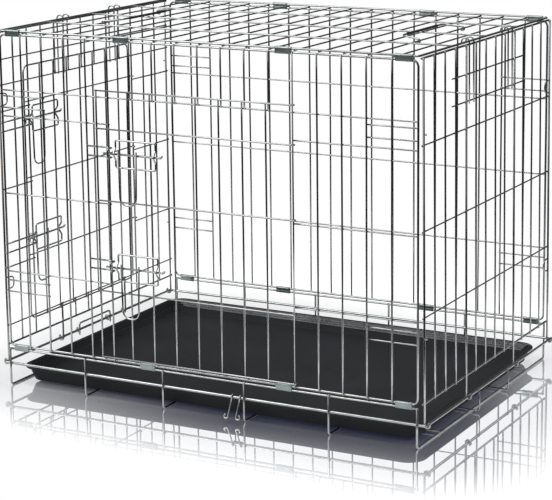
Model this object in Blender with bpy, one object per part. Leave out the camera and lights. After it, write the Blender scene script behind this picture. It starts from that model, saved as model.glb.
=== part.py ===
"""Folding wire pet crate: five welded wire panels on a wire base, with two doors and a slide-out tray.

Metres, +Z up. X runs along the long side, the front with the large door faces -Y, the small door is in
the left end at -X. The origin is on the floor, under the middle of the outer box.
"""
import bpy
import bmesh
from math import asin, cos, pi, radians, sin
from mathutils import Vector

# Driving dimensions of the crate, measured between wire centres unless said otherwise
FRAME_LENGTH = 0.780      # front, back and top panel, between their two side wires
HINGE_DEPTH = 0.5507      # between the front and the back hinge rails
SIDE_TOP = 0.6190         # top rail of the front and back panels above the floor
BASE_RAIL = 0.0665        # upper rails of the base above the floor
HINGE_PAIR = 0.0063       # two rails that turn beside each other in one clip
RING_HEIGHT = 0.040       # thick ring of the base, which carries the end panels
RING_OVERHANG = 0.014     # the ring's end rails stand this far outside the base's end legs
END_OVERHANG = 0.00625    # an end panel's rails stand this far outside the side panels' ends
END_CLEAR = 0.00515       # an end panel's posts stand this far inside the hinge rails
END_DROP = 0.0010         # an end panel's top rail lies this far under the side panels' top rails
BAYS_LONG = 18            # mesh bays along the length
BAYS_END = 13             # mesh bays across an end panel
LEG_BAYS = 5              # bays between the base's six leg wires
FLOOR_PITCH = 0.128       # between the lengthwise floor wires

# Wire sizes
MESH = 0.0013             # radius of the mesh wires
RAIL = 0.0018             # radius of rails, posts, legs and bolts
RING = 0.0023             # radius of the base ring
LAP = 0.0003              # depth that two crossing wires melt into each other at a weld
GAP = 0.0003              # running gap between two pieces
OVERRUN = 0.0012          # a mesh wire's end sticks out this far past the rail it is welded to
BUTT = 0.0008             # a level wire's end goes this far into the side wire it is welded to
FRAME_BEND = 0.010        # bend at the corners of the front and back panels' rails
SIDES = 6                 # sides of a wire's section
MESH_SIDES = 4            # sides of the thin mesh wires, of which there are many

# Upper level wires, measured down from the side panels' top rails
DOOR_HEAD_DROP = 0.095
FRONT_DROPS = (0.140, 0.275)
BACK_DROPS = (0.139, 0.276)
CORNER_DROPS = (0.105, 0.125)
RIGHT_DROPS = (0.133, 0.269)
LEFT_DROPS = (0.135, 0.271)
END_HEAD_DROP = 0.089     # head wire of the left doorway, and the lower wire that holds the end hooks
END_UPPER_DROP = 0.045    # upper wire that holds the end hooks

# Lower level wires, measured up from the floor
FRONT_LOW = 0.206
BACK_LOW = 0.208
CORNER_LOWS = (0.190, 0.170)
RIGHT_LOW = 0.212
LEFT_LOW = 0.209
END_SILL = 0.106          # sill wire of the left doorway
CORNER_BAYS = 2           # the short corner wires cross this many bays
HOOK_WIRE_HALF = 0.155    # half the length of the right end panel's two short hook wires
TOP_SHIFT = 0.0024        # the top's cross wires stand beside the uprights, so that the panels fold flat

# Doorways, by the number of the mesh wire at each edge
FRONT_DOORWAY = (5, 13)
LEFT_DOORWAY = (2, 10)
THICK_POSTS = (4, 9)      # mesh wires of an end panel that run down to the base ring

# Doors
DOOR_SHIFT = 0.0045       # a door's mesh wires stand this far beside the panel's
FRONT_DOOR_LAP = 0.0223   # the front door covers this much of the panel beside the doorway
FRONT_DOOR_ABOVE = 0.012  # its top wire above the doorway's head wire
FRONT_DOOR_BELOW = 0.0062  # its lowest wire above the panel's lower rail
FRONT_DOOR_DROPS = (0.147, 0.269)
FRONT_DOOR_LOW = 0.194
LEFT_DOOR_LAP = 0.008
LEFT_DOOR_INSET = 0.0065  # from the hinge wire to the door's frame
LEFT_DOOR_ABOVE = 0.023
LEFT_DOOR_BELOW = 0.0075
LEFT_DOOR_RAISE = 0.006   # its level wires above the panel's, so that the hinge eyes clear them
LEFT_DOOR_WIRE = 0.0015   # radius of the left door's outer frame

# Latches. The upper bolts are measured down from the side panels' top rails, the lower ones from the
# floor, and the rest from the mesh wire at the doorway's closing edge
FRONT_BOLT_DROP = 0.187
FRONT_BOLT_LOW = 0.238
LEFT_BOLT_DROP = 0.162
LEFT_BOLT_LOW = 0.243
KEEPER_REACH = 0.0044
KEEPER_HALF = 0.008
GUIDE_START = 0.0159
GUIDE_LENGTH = 0.0775
GUIDE_HALF = 0.023
GUIDE_BULGE = 0.0105
BOLT_START = -0.0066
BOLT_LENGTH = 0.112
BOLT_RISE = 0.0030        # the bolt stands this far outside the guide's frame
PULL_LEGS = (0.0244, 0.0594)
PULL_DROP = 0.085

# Tray
TRAY_END_CLEAR = 0.005    # from the base's end legs to the rim
TRAY_SIDE_CLEAR = 0.01335  # from the hinge rails to the rim
TRAY_SLOPE = 0.014        # the foot of the tray lies this far inside its rim
TRAY_DEPTH = 0.0259
TRAY_WALL = 0.0025
TRAY_LIP = 0.0050
TRAY_LIP_THICK = 0.0035
TRAY_LEDGE = 0.0113       # the inner ledge lies this far under the rim

# Hinge clips, by the bay they sit in, for three long edges and for the lower front edge
CLIP_LENGTH = 0.029
CLIP_WALL = 0.0008
CLIP_PLAY = 0.00035
CLIP_BAYS = (0.62, 5.62, 12.62, 17.45)
FRONT_LOW_CLIP_BAYS = (0.55, 6.5, 12.5, 17.45)

# End hooks, carrying handles, tray catch and base hook
HOOK_BAYS = 2             # the end hooks stand this many bays from the middle of their panel
HOOK_HALF = 0.009
HANDLE_BAYS = 2           # the handles turn on the cross wire this many bays from each end
HANDLE_HALF = 0.091
HANDLE_REACH = 0.034
HANDLE_TAPER = 0.010
HANDLE_WIRE = 0.0016
GRIP_RADIUS = 0.0027
GRIP_HALF = 0.060
CATCH_HALF = 0.051
CATCH_TOP = 0.054
BASE_HOOK_STEP = 0.008    # from the leg beside it to its nearer prong
BASE_HOOK_WIDTH = 0.015
BASE_HOOK_DROP = 0.0285
BASE_HOOK_LEAN = 0.017
BASE_HOOK_CURL_LEAN = radians(23.6)

# Values worked out from the above
HINGE_Y = HINGE_DEPTH / 2
HALF_FRAME = FRAME_LENGTH / 2
END_WIDTH = HINGE_DEPTH - 2 * END_CLEAR      # end panels, between their two posts
PITCH_LONG = FRAME_LENGTH / BAYS_LONG
PITCH_END = END_WIDTH / BAYS_END
END_HALF = END_WIDTH / 2
RING_X = HALF_FRAME + RING_OVERHANG
END_RAIL_X = HALF_FRAME + END_OVERHANG
END_TOP = SIDE_TOP - END_DROP
DOOR_HEAD = SIDE_TOP - DOOR_HEAD_DROP
FRONT_WIRES = (*(SIDE_TOP - drop for drop in FRONT_DROPS), FRONT_LOW)
BACK_WIRES = (*(SIDE_TOP - drop for drop in BACK_DROPS), BACK_LOW)
RIGHT_WIRES = (*(SIDE_TOP - drop for drop in RIGHT_DROPS), RIGHT_LOW)
LEFT_WIRES = (*(SIDE_TOP - drop for drop in LEFT_DROPS), LEFT_LOW)
CORNER_WIRES = (*(SIDE_TOP - drop for drop in CORNER_DROPS), *CORNER_LOWS)
END_HEAD = SIDE_TOP - END_HEAD_DROP
END_UPPER = SIDE_TOP - END_UPPER_DROP
FRONT_DOOR_WIRES = (*(SIDE_TOP - drop for drop in FRONT_DOOR_DROPS), FRONT_DOOR_LOW)
FRONT_BOLTS = (SIDE_TOP - FRONT_BOLT_DROP, FRONT_BOLT_LOW)
LEFT_BOLTS = (SIDE_TOP - LEFT_BOLT_DROP, LEFT_BOLT_LOW)
HOOK_CENTRE = HOOK_BAYS * PITCH_END
TOP_RAIL = SIDE_TOP + HINGE_PAIR
PANEL_FOOT = BASE_RAIL + HINGE_PAIR
UP_LAYER = RAIL + MESH - LAP                 # mesh uprights stand this far outside the rails
CROSS_LAYER = UP_LAYER - (2 * MESH - LAP)    # level mesh wires
POST_LAYER = 2 * RAIL - LAP                  # thick posts of the end panels
FLAT = cos(pi / SIDES)                       # a section's flat lies this share of its radius from the centre
LEG_HEIGHT = RAIL * FLAT                     # the legs rest on the flat of their section
LEG_Y = HINGE_Y + RAIL + LEG_HEIGHT - LAP
RING_Y = LEG_Y - LEG_HEIGHT - RING * FLAT + LAP
RING_LEG_X = RING_X + (RING + MESH) * FLAT - LAP
FLOOR_WIRE_HEIGHT = 2 * LEG_HEIGHT + MESH * FLAT - LAP
TRAY_BOTTOM = FLOOR_WIRE_HEIGHT + MESH * FLAT + GAP
TRAY_TOP = TRAY_BOTTOM + TRAY_DEPTH
EYE_RADIUS = RING + RAIL + GAP
DOOR_UP_LAYER = UP_LAYER + MESH
DOOR_CROSS_LAYER = UP_LAYER + 2 * MESH + GAP
HOOK_LAYER = CROSS_LAYER + 2 * MESH + GAP
LEFT_FRAME_LAYER = HOOK_LAYER + MESH + LEFT_DOOR_WIRE + GAP
GUIDE_LAYER = DOOR_UP_LAYER + 2 * MESH + GAP
BOLT_LAYER = GUIDE_LAYER + BOLT_RISE
LOOP_LAYER = BOLT_LAYER + RAIL + MESH + 0.0005
GUIDE_PEAK = BOLT_LAYER + RAIL + MESH + 0.0016
KEEPER_LAYER = UP_LAYER - 2 * MESH - GAP
CROSS_TOP = TOP_RAIL - UP_LAYER
LENGTHWISE_TOP = CROSS_TOP + 2 * MESH - LAP
HANDLE_EYE = MESH + HANDLE_WIRE + GAP        # from the cross wire's centre to the bail's
HANDLE_REST = LENGTHWISE_TOP + MESH + GRIP_RADIUS + GAP - CROSS_TOP
HANDLE_TILT = asin((HANDLE_REST - HANDLE_EYE) / HANDLE_REACH)
HALF_TURN = 180


# Wires

def rounded(points, radius, steps=3, closed=False):
    """The same route with each corner turned into an arc."""
    points = [Vector(p) for p in points]
    count = len(points)
    out = []
    for i, corner in enumerate(points):
        if not closed and i in (0, count - 1):
            out.append(corner)
            continue
        before = (points[i - 1] - corner).normalized()
        after = (points[(i + 1) % count] - corner).normalized()
        bend = pi - before.angle(after)
        if bend < 0.02:
            out.append(corner)
            continue
        reach = radius * abs(sin(bend / 2) / cos(bend / 2))
        centre = corner + (before + after).normalized() * (radius / cos(bend / 2))
        start = corner + before * reach - centre
        end = corner + after * reach - centre
        for k in range(steps + 1):
            share = k / steps
            weight_a = sin((1 - share) * bend) / sin(bend)
            weight_b = sin(share * bend) / sin(bend)
            out.append(centre + start * weight_a + end * weight_b)
    return out


def arc(centre, axis_a, axis_b, radius, start, end, steps):
    """Points on an arc in the plane of two unit directions, with angles in degrees."""
    centre, axis_a, axis_b = Vector(centre), Vector(axis_a), Vector(axis_b)
    angles = [radians(start + (end - start) * k / steps) for k in range(steps + 1)]
    return [centre + (axis_a * cos(t) + axis_b * sin(t)) * radius for t in angles]


def sweep(mesh, points, radius, ridge, closed=False, sides=SIDES):
    """A wire along a route. One ridge of its section points along the direction ridge."""
    points = [Vector(p) for p in points]
    count = len(points)
    runs = [(points[(i + 1) % count] - points[i]).normalized() for i in range(count)]
    along = (runs[0] + runs[-1]).normalized() if closed else runs[0]
    up = Vector(ridge)
    up = (up - runs[0] * up.dot(runs[0])).normalized()
    side = runs[0].cross(up)
    ring = []
    for k in range(sides):
        t = 2 * pi * k / sides
        corner = (up * cos(t) + side * sin(t)) * radius
        ring.append(points[0] + corner - runs[0] * (corner.dot(along) / runs[0].dot(along)))
    rings = [ring]
    for i in range(1, count):
        before = runs[i - 1]
        last = i == count - 1 and not closed
        normal = before if last else (before + runs[i]).normalized()
        rings.append([p + before * ((points[i] - p).dot(normal) / before.dot(normal)) for p in rings[-1]])
    loops = [[mesh.verts.new(p) for p in ring] for ring in rings]
    pairs = list(zip(loops, loops[1:] + loops[:1])) if closed else list(zip(loops, loops[1:]))
    for low, high in pairs:
        for k in range(sides):
            nxt = (k + 1) % sides
            mesh.faces.new((low[k], low[nxt], high[nxt], high[k]))
    if not closed:
        mesh.faces.new(loops[0][::-1])
        mesh.faces.new(loops[-1])


def finish_mesh(mesh, name):
    bmesh.ops.recalc_face_normals(mesh, faces=mesh.faces)
    data = bpy.data.meshes.new(name)
    mesh.to_mesh(data)
    mesh.free()
    return data


def wires_mesh(name, wires):
    """One mesh of wires that don't touch each other. A wire is (points, radius, ridge[, closed, sides])."""
    mesh = bmesh.new()
    for wire in wires:
        sweep(mesh, *wire)
    return finish_mesh(mesh, name)


def welded(name, groups):
    """Weld groups of wires into one body with exact unions."""
    body = bpy.data.objects.new(name, wires_mesh(name, groups[0]))
    bpy.context.collection.objects.link(body)
    for number, group in enumerate(groups[1:]):
        tool = bpy.data.objects.new(f"{name}_layer_{number}", wires_mesh(name, group))
        bpy.context.collection.objects.link(tool)
        union = body.modifiers.new("weld", "BOOLEAN")
        union.operation = "UNION"
        union.solver = "EXACT"
        union.object = tool
        view = bpy.context.evaluated_depsgraph_get()
        result = bpy.data.meshes.new_from_object(body.evaluated_get(view))
        body.modifiers.clear()
        body.data = result
        bpy.data.objects.remove(tool)
    return body


# Materials and placing

def material(name, colour, roughness, metallic):
    made = bpy.data.materials.new(name)
    made.use_nodes = True
    shader = made.node_tree.nodes["Principled BSDF"]
    shader.inputs["Base Color"].default_value = (*colour, 1.0)
    shader.inputs["Roughness"].default_value = roughness
    shader.inputs["Metallic"].default_value = metallic
    return made


def empty(name, place, parent=None):
    """An empty on a joint's axis, at a place given in the crate's frame."""
    made = bpy.data.objects.new(name, None)
    bpy.context.collection.objects.link(made)
    if parent is None:
        made.location = place
    else:
        made.parent = parent
        made.location = Vector(place) - Vector(parent["place"])
    made["place"] = Vector(place)
    return made


def put(body, finish, pivot):
    """Give a body its own material and hang it on its pivot, without moving it."""
    body.data.materials.clear()
    body.data.materials.append(finish)
    offset = Vector(pivot["place"])
    for vertex in body.data.vertices:
        vertex.co -= offset
    body.data.shade_smooth()
    body.data.set_sharp_from_angle(angle=radians(50))
    body.parent = pivot
    return body


# Panel frames: u runs along the panel, v outward from its rails, w up

def front(u, v, w):
    return Vector((u, -HINGE_Y - v, w))


def back(u, v, w):
    return Vector((u, HINGE_Y + v, w))


def left(u, v, w):
    return Vector((-END_RAIL_X - v, u, w))


def right(u, v, w):
    return Vector((END_RAIL_X + v, u, w))


def outward(place):
    """The panel's outward direction."""
    return place(0, 1, 0) - place(0, 0, 0)


def upright(place, u, v, low, high):
    return ([place(u, v, low), place(u, v, high)], MESH, outward(place), False, MESH_SIDES)


def crossing(place, start, end, v, w, radius=MESH, sides=MESH_SIDES):
    return ([place(start, v, w), place(end, v, w)], radius, outward(place), False, sides)


def long_wire(number):
    return -HALF_FRAME + PITCH_LONG * number


def end_wire(number):
    return -END_HALF + PITCH_END * number


# Base

def base_frame():
    """Six U-shaped leg wires carry two upper rails and the thick ring, over four lengthwise floor wires."""
    ends = FRAME_LENGTH / LEG_BAYS
    legs = []
    for number in range(LEG_BAYS + 1):
        x = -HALF_FRAME + ends * number
        route = [(x, -LEG_Y, BASE_RAIL + OVERRUN), (x, -LEG_Y, LEG_HEIGHT),
                 (x, LEG_Y, LEG_HEIGHT), (x, LEG_Y, BASE_RAIL + OVERRUN)]
        legs.append((rounded(route, 0.006, 2), RAIL, (1, 0, 0)))
    rails = []
    for side in (-1, 1):
        y = side * HINGE_Y
        reach = HALF_FRAME + OVERRUN
        rails.append(([(-reach, y, BASE_RAIL), (reach, y, BASE_RAIL)], RAIL, (0, 1, 0)))
    corners = [(-RING_X, -RING_Y, RING_HEIGHT), (RING_X, -RING_Y, RING_HEIGHT),
               (RING_X, RING_Y, RING_HEIGHT), (-RING_X, RING_Y, RING_HEIGHT)]
    rails.append((rounded(corners, 0.003, 2, closed=True), RING, (0, 0, 1), True))
    floor = []
    for share in (-1.5, -0.5, 0.5, 1.5):
        y = share * FLOOR_PITCH
        if abs(share) < 1:
            route = [(-HALF_FRAME - OVERRUN, y, FLOOR_WIRE_HEIGHT), (RING_LEG_X, y, FLOOR_WIRE_HEIGHT),
                     (RING_LEG_X, y, RING_HEIGHT + OVERRUN)]
            floor.append((rounded(route, 0.005), MESH, (0, 1, 0)))
        else:
            reach = HALF_FRAME + OVERRUN
            floor.append(([(-reach, y, FLOOR_WIRE_HEIGHT), (reach, y, FLOOR_WIRE_HEIGHT)], MESH, (0, 1, 0)))
    return welded("base_frame", [legs, rails, floor])


# Side panels

def side_frame(place):
    """The bent rail that runs round a front or back panel."""
    corners = [place(-HALF_FRAME, 0, PANEL_FOOT), place(HALF_FRAME, 0, PANEL_FOOT),
               place(HALF_FRAME, 0, SIDE_TOP), place(-HALF_FRAME, 0, SIDE_TOP)]
    return (rounded(corners, FRAME_BEND, 3, closed=True), RAIL, outward(place), True)


def corner_wires(place):
    """Short pairs of wires that stiffen the panel's four corners."""
    inner = HALF_FRAME - CORNER_BAYS * PITCH_LONG - OVERRUN
    outer = HALF_FRAME + BUTT
    wires = []
    for w in CORNER_WIRES:
        wires.append(crossing(place, -outer, -inner, CROSS_LAYER, w))
        wires.append(crossing(place, inner, outer, CROSS_LAYER, w))
    return wires


def front_panel():
    low = PANEL_FOOT - OVERRUN
    high = SIDE_TOP + OVERRUN
    first, last = FRONT_DOORWAY
    uprights = []
    for number in range(1, BAYS_LONG):
        start = DOOR_HEAD - OVERRUN if first < number < last else low
        uprights.append(upright(front, long_wire(number), UP_LAYER, start, high))
    edge = HALF_FRAME + BUTT
    level = [crossing(front, -edge, edge, CROSS_LAYER, DOOR_HEAD)]
    for w in FRONT_WIRES:
        level.append(crossing(front, -edge, long_wire(first) + OVERRUN, CROSS_LAYER, w))
        level.append(crossing(front, long_wire(last) - OVERRUN, edge, CROSS_LAYER, w))
    return welded("front_panel", [[side_frame(front)], uprights, level + corner_wires(front)])


def back_panel():
    low = PANEL_FOOT - OVERRUN
    high = SIDE_TOP + OVERRUN
    uprights = [upright(back, long_wire(n), UP_LAYER, low, high) for n in range(1, BAYS_LONG)]
    edge = HALF_FRAME + BUTT
    level = [crossing(back, -edge, edge, CROSS_LAYER, w) for w in BACK_WIRES]
    return welded("back_panel", [[side_frame(back)], uprights, level + corner_wires(back)])


def top_panel():
    """A bent frame with cross wires under it and three lengthwise wires over them."""
    corners = [(-HALF_FRAME, -HINGE_Y, TOP_RAIL), (HALF_FRAME, -HINGE_Y, TOP_RAIL),
               (HALF_FRAME, HINGE_Y, TOP_RAIL), (-HALF_FRAME, HINGE_Y, TOP_RAIL)]
    frame = [(rounded(corners, 0.005, 3, closed=True), RAIL, (0, 0, 1), True)]
    reach = HINGE_Y + BUTT
    cross = []
    for number in range(1, BAYS_LONG):
        x = long_wire(number) + TOP_SHIFT
        cross.append(([(x, -reach, CROSS_TOP), (x, reach, CROSS_TOP)], MESH, (0, 0, 1), False, MESH_SIDES))
    lengthwise = []
    for quarter in (-1, 0, 1):
        y = quarter * HINGE_Y / 2
        edge = HALF_FRAME + BUTT
        lengthwise.append(([(-edge, y, LENGTHWISE_TOP), (edge, y, LENGTHWISE_TOP)], MESH, (0, 0, 1), False, MESH_SIDES))
    return welded("top_panel", [frame, cross, lengthwise])


# End panels

def post_route(place, u, top):
    """A thick post that runs down inside the base ring and turns round it as a hinge eye."""
    centre = place(u, RING_X - END_RAIL_X, RING_HEIGHT)
    eye = arc(centre, outward(place), (0, 0, 1), EYE_RADIUS, HALF_TURN, HALF_TURN + 245, 8)
    return [place(u, POST_LAYER, top), place(u, POST_LAYER, PANEL_FOOT - 0.004)] + eye


def along(place):
    return place(1, 0, 0) - place(0, 0, 0)


def stop_loop(place, u, inward, w):
    """A small D-shaped loop on a post, in the panel's plane."""
    depth = 0.022 * inward
    half = 0.0115
    corners = [place(u, POST_LAYER, w + half), place(u + depth, POST_LAYER, w + half * 0.8),
               place(u + depth, POST_LAYER, w - half * 0.8), place(u, POST_LAYER, w - half)]
    return (rounded(corners, 0.008, 3), MESH, outward(place))


def corner_pin(place, u, w):
    """A short pin that sticks out from the other post."""
    return ([place(u, POST_LAYER - BUTT, w), place(u, POST_LAYER + 0.0050, w)], MESH, (0, 0, 1))


def end_panel(name, place, doorway, loop_side):
    """Rails, posts with hinge eyes, thin uprights and level wires. A doorway is left where there is a door."""
    edge = END_HALF + BUTT
    rails = [crossing(place, -edge, edge, 0, w, RAIL, SIDES) for w in (END_TOP, PANEL_FOOT)]
    thick, thin = [], []
    for number in range(BAYS_END + 1):
        u = end_wire(number)
        open_here = doorway and doorway[0] < number < doorway[1]
        heavy = number in (0, BAYS_END) or number in THICK_POSTS
        low = PANEL_FOOT - OVERRUN
        high = END_TOP + OVERRUN
        if heavy and open_here:
            thick.append(([place(u, POST_LAYER, high), place(u, POST_LAYER, END_HEAD - OVERRUN)],
                          RAIL, outward(place)))
            thick.append((post_route(place, u, END_SILL + OVERRUN), RAIL, along(place)))
        elif heavy:
            thick.append((post_route(place, u, high), RAIL, along(place)))
        elif open_here:
            thin.append(upright(place, u, UP_LAYER, END_HEAD - OVERRUN, high))
            thin.append(upright(place, u, UP_LAYER, low, END_SILL + OVERRUN))
        else:
            thin.append(upright(place, u, UP_LAYER, low, high))
    level = []
    if doorway:
        for w in (END_UPPER, END_HEAD, END_SILL):
            level.append(crossing(place, -edge, edge, CROSS_LAYER, w))
        for w in LEFT_WIRES:
            level.append(crossing(place, -edge, end_wire(doorway[0]) + OVERRUN, CROSS_LAYER, w))
            level.append(crossing(place, end_wire(doorway[1]) - OVERRUN, edge, CROSS_LAYER, w))
    else:
        for w in RIGHT_WIRES:
            level.append(crossing(place, -edge, edge, CROSS_LAYER, w))
        for w in (END_UPPER, END_HEAD):
            level.append(crossing(place, -HOOK_WIRE_HALF, HOOK_WIRE_HALF, CROSS_LAYER, w))
    loops = []
    for w in ((CORNER_WIRES[0] + CORNER_WIRES[1]) / 2, (CORNER_WIRES[2] + CORNER_WIRES[3]) / 2):
        loops.append(stop_loop(place, loop_side * END_HALF, -loop_side, w))
        loops.append(corner_pin(place, -loop_side * END_HALF, w))
    return welded(name, [rails, thick + thin, level, loops])


def end_hook(name, place, u):
    """A hairpin that rises outside an end panel and curls over the top panel's end rail."""
    outer = HOOK_LAYER
    inner = HALF_FRAME - RAIL - MESH - 0.0008 - END_RAIL_X
    middle = (outer + inner) / 2
    radius = (outer - inner) / 2
    arch_height = TOP_RAIL - 0.0003
    tip = TOP_RAIL - 0.0018
    out = outward(place)
    half = HOOK_HALF

    def prong(side):
        over = arc(place(u + side * half, middle, arch_height), out, (0, 0, 1), radius, 0, HALF_TURN, 5)
        return [place(u + side * half, outer, END_HEAD - 0.004)] + over

    first = prong(-1) + [place(u - half, inner, tip)]
    second = prong(1) + [place(u + half, inner, tip)]
    route = first[:-1] + [first[-1], second[-1]] + second[:-1][::-1]
    mesh = bmesh.new()
    sweep(mesh, route, MESH, along(place))
    body = bpy.data.objects.new(name, finish_mesh(mesh, name))
    bpy.context.collection.objects.link(body)
    return body


# Doors

def hinge_eye(place, u, w, start):
    """A level door wire that curls round the panel's upright and can turn on it."""
    centre = place(u, UP_LAYER, w)
    radius = DOOR_CROSS_LAYER - UP_LAYER
    curl = arc(centre, outward(place), along(place), radius, 0, 285, 9)
    return [place(start, DOOR_CROSS_LAYER, w)] + curl


def front_door():
    hinge = long_wire(FRONT_DOORWAY[1])
    edge = long_wire(FRONT_DOORWAY[0]) - FRONT_DOOR_LAP
    heights = (DOOR_HEAD + FRONT_DOOR_ABOVE, *FRONT_DOOR_WIRES, PANEL_FOOT + FRONT_DOOR_BELOW)
    high = heights[0] + OVERRUN
    low = heights[-1] - OVERRUN
    uprights = [upright(front, edge, DOOR_UP_LAYER, low, high)]
    for number in range(FRONT_DOORWAY[0] + 1, FRONT_DOORWAY[1]):
        uprights.append(upright(front, long_wire(number) - DOOR_SHIFT, DOOR_UP_LAYER, low, high))
    level = [(hinge_eye(front, hinge, w, edge - OVERRUN), MESH, (0, 0, 1), False, MESH_SIDES) for w in heights]
    return welded("front_door", [uprights, level])


def left_door():
    hinge = end_wire(LEFT_DOORWAY[1])
    low = END_SILL - LEFT_DOOR_BELOW
    high = END_HEAD + LEFT_DOOR_ABOVE
    start = end_wire(LEFT_DOORWAY[0]) - LEFT_DOOR_LAP
    end = hinge - LEFT_DOOR_INSET
    layer = LEFT_FRAME_LAYER
    corners = [left(start, layer, low), left(end, layer, low), left(end, layer, high), left(start, layer, high)]
    frame = [(rounded(corners, 0.012, 3, closed=True), LEFT_DOOR_WIRE, outward(left), True)]
    uprights = []
    for number in range(LEFT_DOORWAY[0] + 1, LEFT_DOORWAY[1]):
        u = end_wire(number) - DOOR_SHIFT
        uprights.append(upright(left, u, DOOR_UP_LAYER, low - OVERRUN, high + OVERRUN))
    level = [(hinge_eye(left, hinge, w + LEFT_DOOR_RAISE, start), MESH, (0, 0, 1), False, MESH_SIDES)
             for w in LEFT_WIRES]
    return welded("left_door", [frame, uprights, level])


# Latches

def latch_guide(name, place, edge, w):
    """A bent wire on the door whose two sides bulge out in a V that holds the bolt."""
    start = edge + GUIDE_START
    end = start + GUIDE_LENGTH
    top, low = w + GUIDE_HALF, w - GUIDE_HALF

    def side(u, rise):
        return [place(u, GUIDE_LAYER, w - GUIDE_BULGE * rise), place(u, GUIDE_PEAK, w),
                place(u, GUIDE_LAYER, w + GUIDE_BULGE * rise)]

    corners = [place(start, GUIDE_LAYER, low), *side(start, 1), place(start, GUIDE_LAYER, top),
               place(end, GUIDE_LAYER, top), *side(end, -1), place(end, GUIDE_LAYER, low)]
    mesh = bmesh.new()
    sweep(mesh, rounded(corners, 0.0035, 1, closed=True), MESH, outward(place), True)
    body = bpy.data.objects.new(name, finish_mesh(mesh, name))
    bpy.context.collection.objects.link(body)
    return body


def latch_bolt(name, place, edge, w):
    """The sliding rod, with the U-shaped pull that hangs from it."""
    start = edge + BOLT_START
    end = start + BOLT_LENGTH
    rod = [([place(start, BOLT_LAYER, w), place(end, BOLT_LAYER, w), place(end + 0.003, BOLT_LAYER, w + 0.004)],
            RAIL, outward(place))]
    layer = BOLT_LAYER + RAIL + MESH - LAP
    a, b = (edge + leg for leg in PULL_LEGS)
    corners = [place(a, layer, w + 0.007), place(a + 0.002, layer, w - PULL_DROP),
               place(b - 0.002, layer, w - PULL_DROP), place(b, layer, w + 0.007)]
    pull = [(rounded(corners, 0.013, 4), MESH, outward(place))]
    return welded(name, [rod, pull])


def latch_keeper(name, place, edge, w, start):
    """A wire pair on the panel whose closed end stands out through the doorway as a loop for the bolt."""
    u = edge + KEEPER_REACH
    top, low = w + KEEPER_HALF, w - KEEPER_HALF
    corners = [place(start, KEEPER_LAYER, top), place(u, KEEPER_LAYER, top), place(u, LOOP_LAYER, top),
               place(u, LOOP_LAYER, low), place(u, KEEPER_LAYER, low), place(start, KEEPER_LAYER, low)]
    mesh = bmesh.new()
    sweep(mesh, rounded(corners, 0.003, 1), MESH, (0, 0, 1))
    body = bpy.data.objects.new(name, finish_mesh(mesh, name))
    bpy.context.collection.objects.link(body)
    return body


# Sheet-metal hinge clips

def hinge_clip(name, x, y, low, high):
    """A strap bent round two rails that lie over each other."""
    inner = RAIL + CLIP_PLAY
    outer = inner + CLIP_WALL
    mesh = bmesh.new()
    rings = []
    for radius in (outer, inner):
        profile = arc((0, y, high), (0, 1, 0), (0, 0, 1), radius, 0, HALF_TURN, 4)
        profile += arc((0, y, low), (0, 1, 0), (0, 0, 1), radius, HALF_TURN, 2 * HALF_TURN, 4)
        for end in (-1, 1):
            shift = Vector((x + end * CLIP_LENGTH / 2, 0, 0))
            rings.append([mesh.verts.new(p + shift) for p in profile])
    outer_a, outer_b, inner_a, inner_b = rings
    count = len(outer_a)
    for k in range(count):
        nxt = (k + 1) % count
        mesh.faces.new((outer_a[k], outer_a[nxt], outer_b[nxt], outer_b[k]))
        mesh.faces.new((inner_a[k], inner_b[k], inner_b[nxt], inner_a[nxt]))
        mesh.faces.new((outer_a[k], inner_a[k], inner_a[nxt], outer_a[nxt]))
        mesh.faces.new((outer_b[k], outer_b[nxt], inner_b[nxt], inner_b[k]))
    body = bpy.data.objects.new(name, finish_mesh(mesh, name))
    bpy.context.collection.objects.link(body)
    return body


# Carrying handles

def handle_place(side):
    """Map of a bail: s away from its axis towards the middle, y across, n off its plane."""
    axis = Vector((side * (HALF_FRAME - HANDLE_BAYS * PITCH_LONG) + TOP_SHIFT, 0, CROSS_TOP))

    def place(s, y, n):
        return axis + Vector((-side * (s * cos(HANDLE_TILT) - n * sin(HANDLE_TILT)), y,
                              s * sin(HANDLE_TILT) + n * cos(HANDLE_TILT)))
    return place


def handle_bail(name, side):
    place = handle_place(side)
    radius = HANDLE_EYE
    origin = place(0, 0, 0)
    out = place(1, 0, 0) - origin
    up = place(0, 0, 1) - origin

    def eye(y):
        return arc(place(0, y, 0), out, up, radius, 325, 90, 7)

    near = eye(-HANDLE_HALF)
    far = eye(HANDLE_HALF)
    corners = [near[-1], place(HANDLE_REACH, -HANDLE_HALF + HANDLE_TAPER, radius),
               place(HANDLE_REACH, HANDLE_HALF - HANDLE_TAPER, radius), far[-1]]
    route = near[:-1] + rounded(corners, 0.012, 3) + far[:-1][::-1]
    mesh = bmesh.new()
    sweep(mesh, route, HANDLE_WIRE, (0, 1, 0))
    body = bpy.data.objects.new(name, finish_mesh(mesh, name))
    bpy.context.collection.objects.link(body)
    return body


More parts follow.
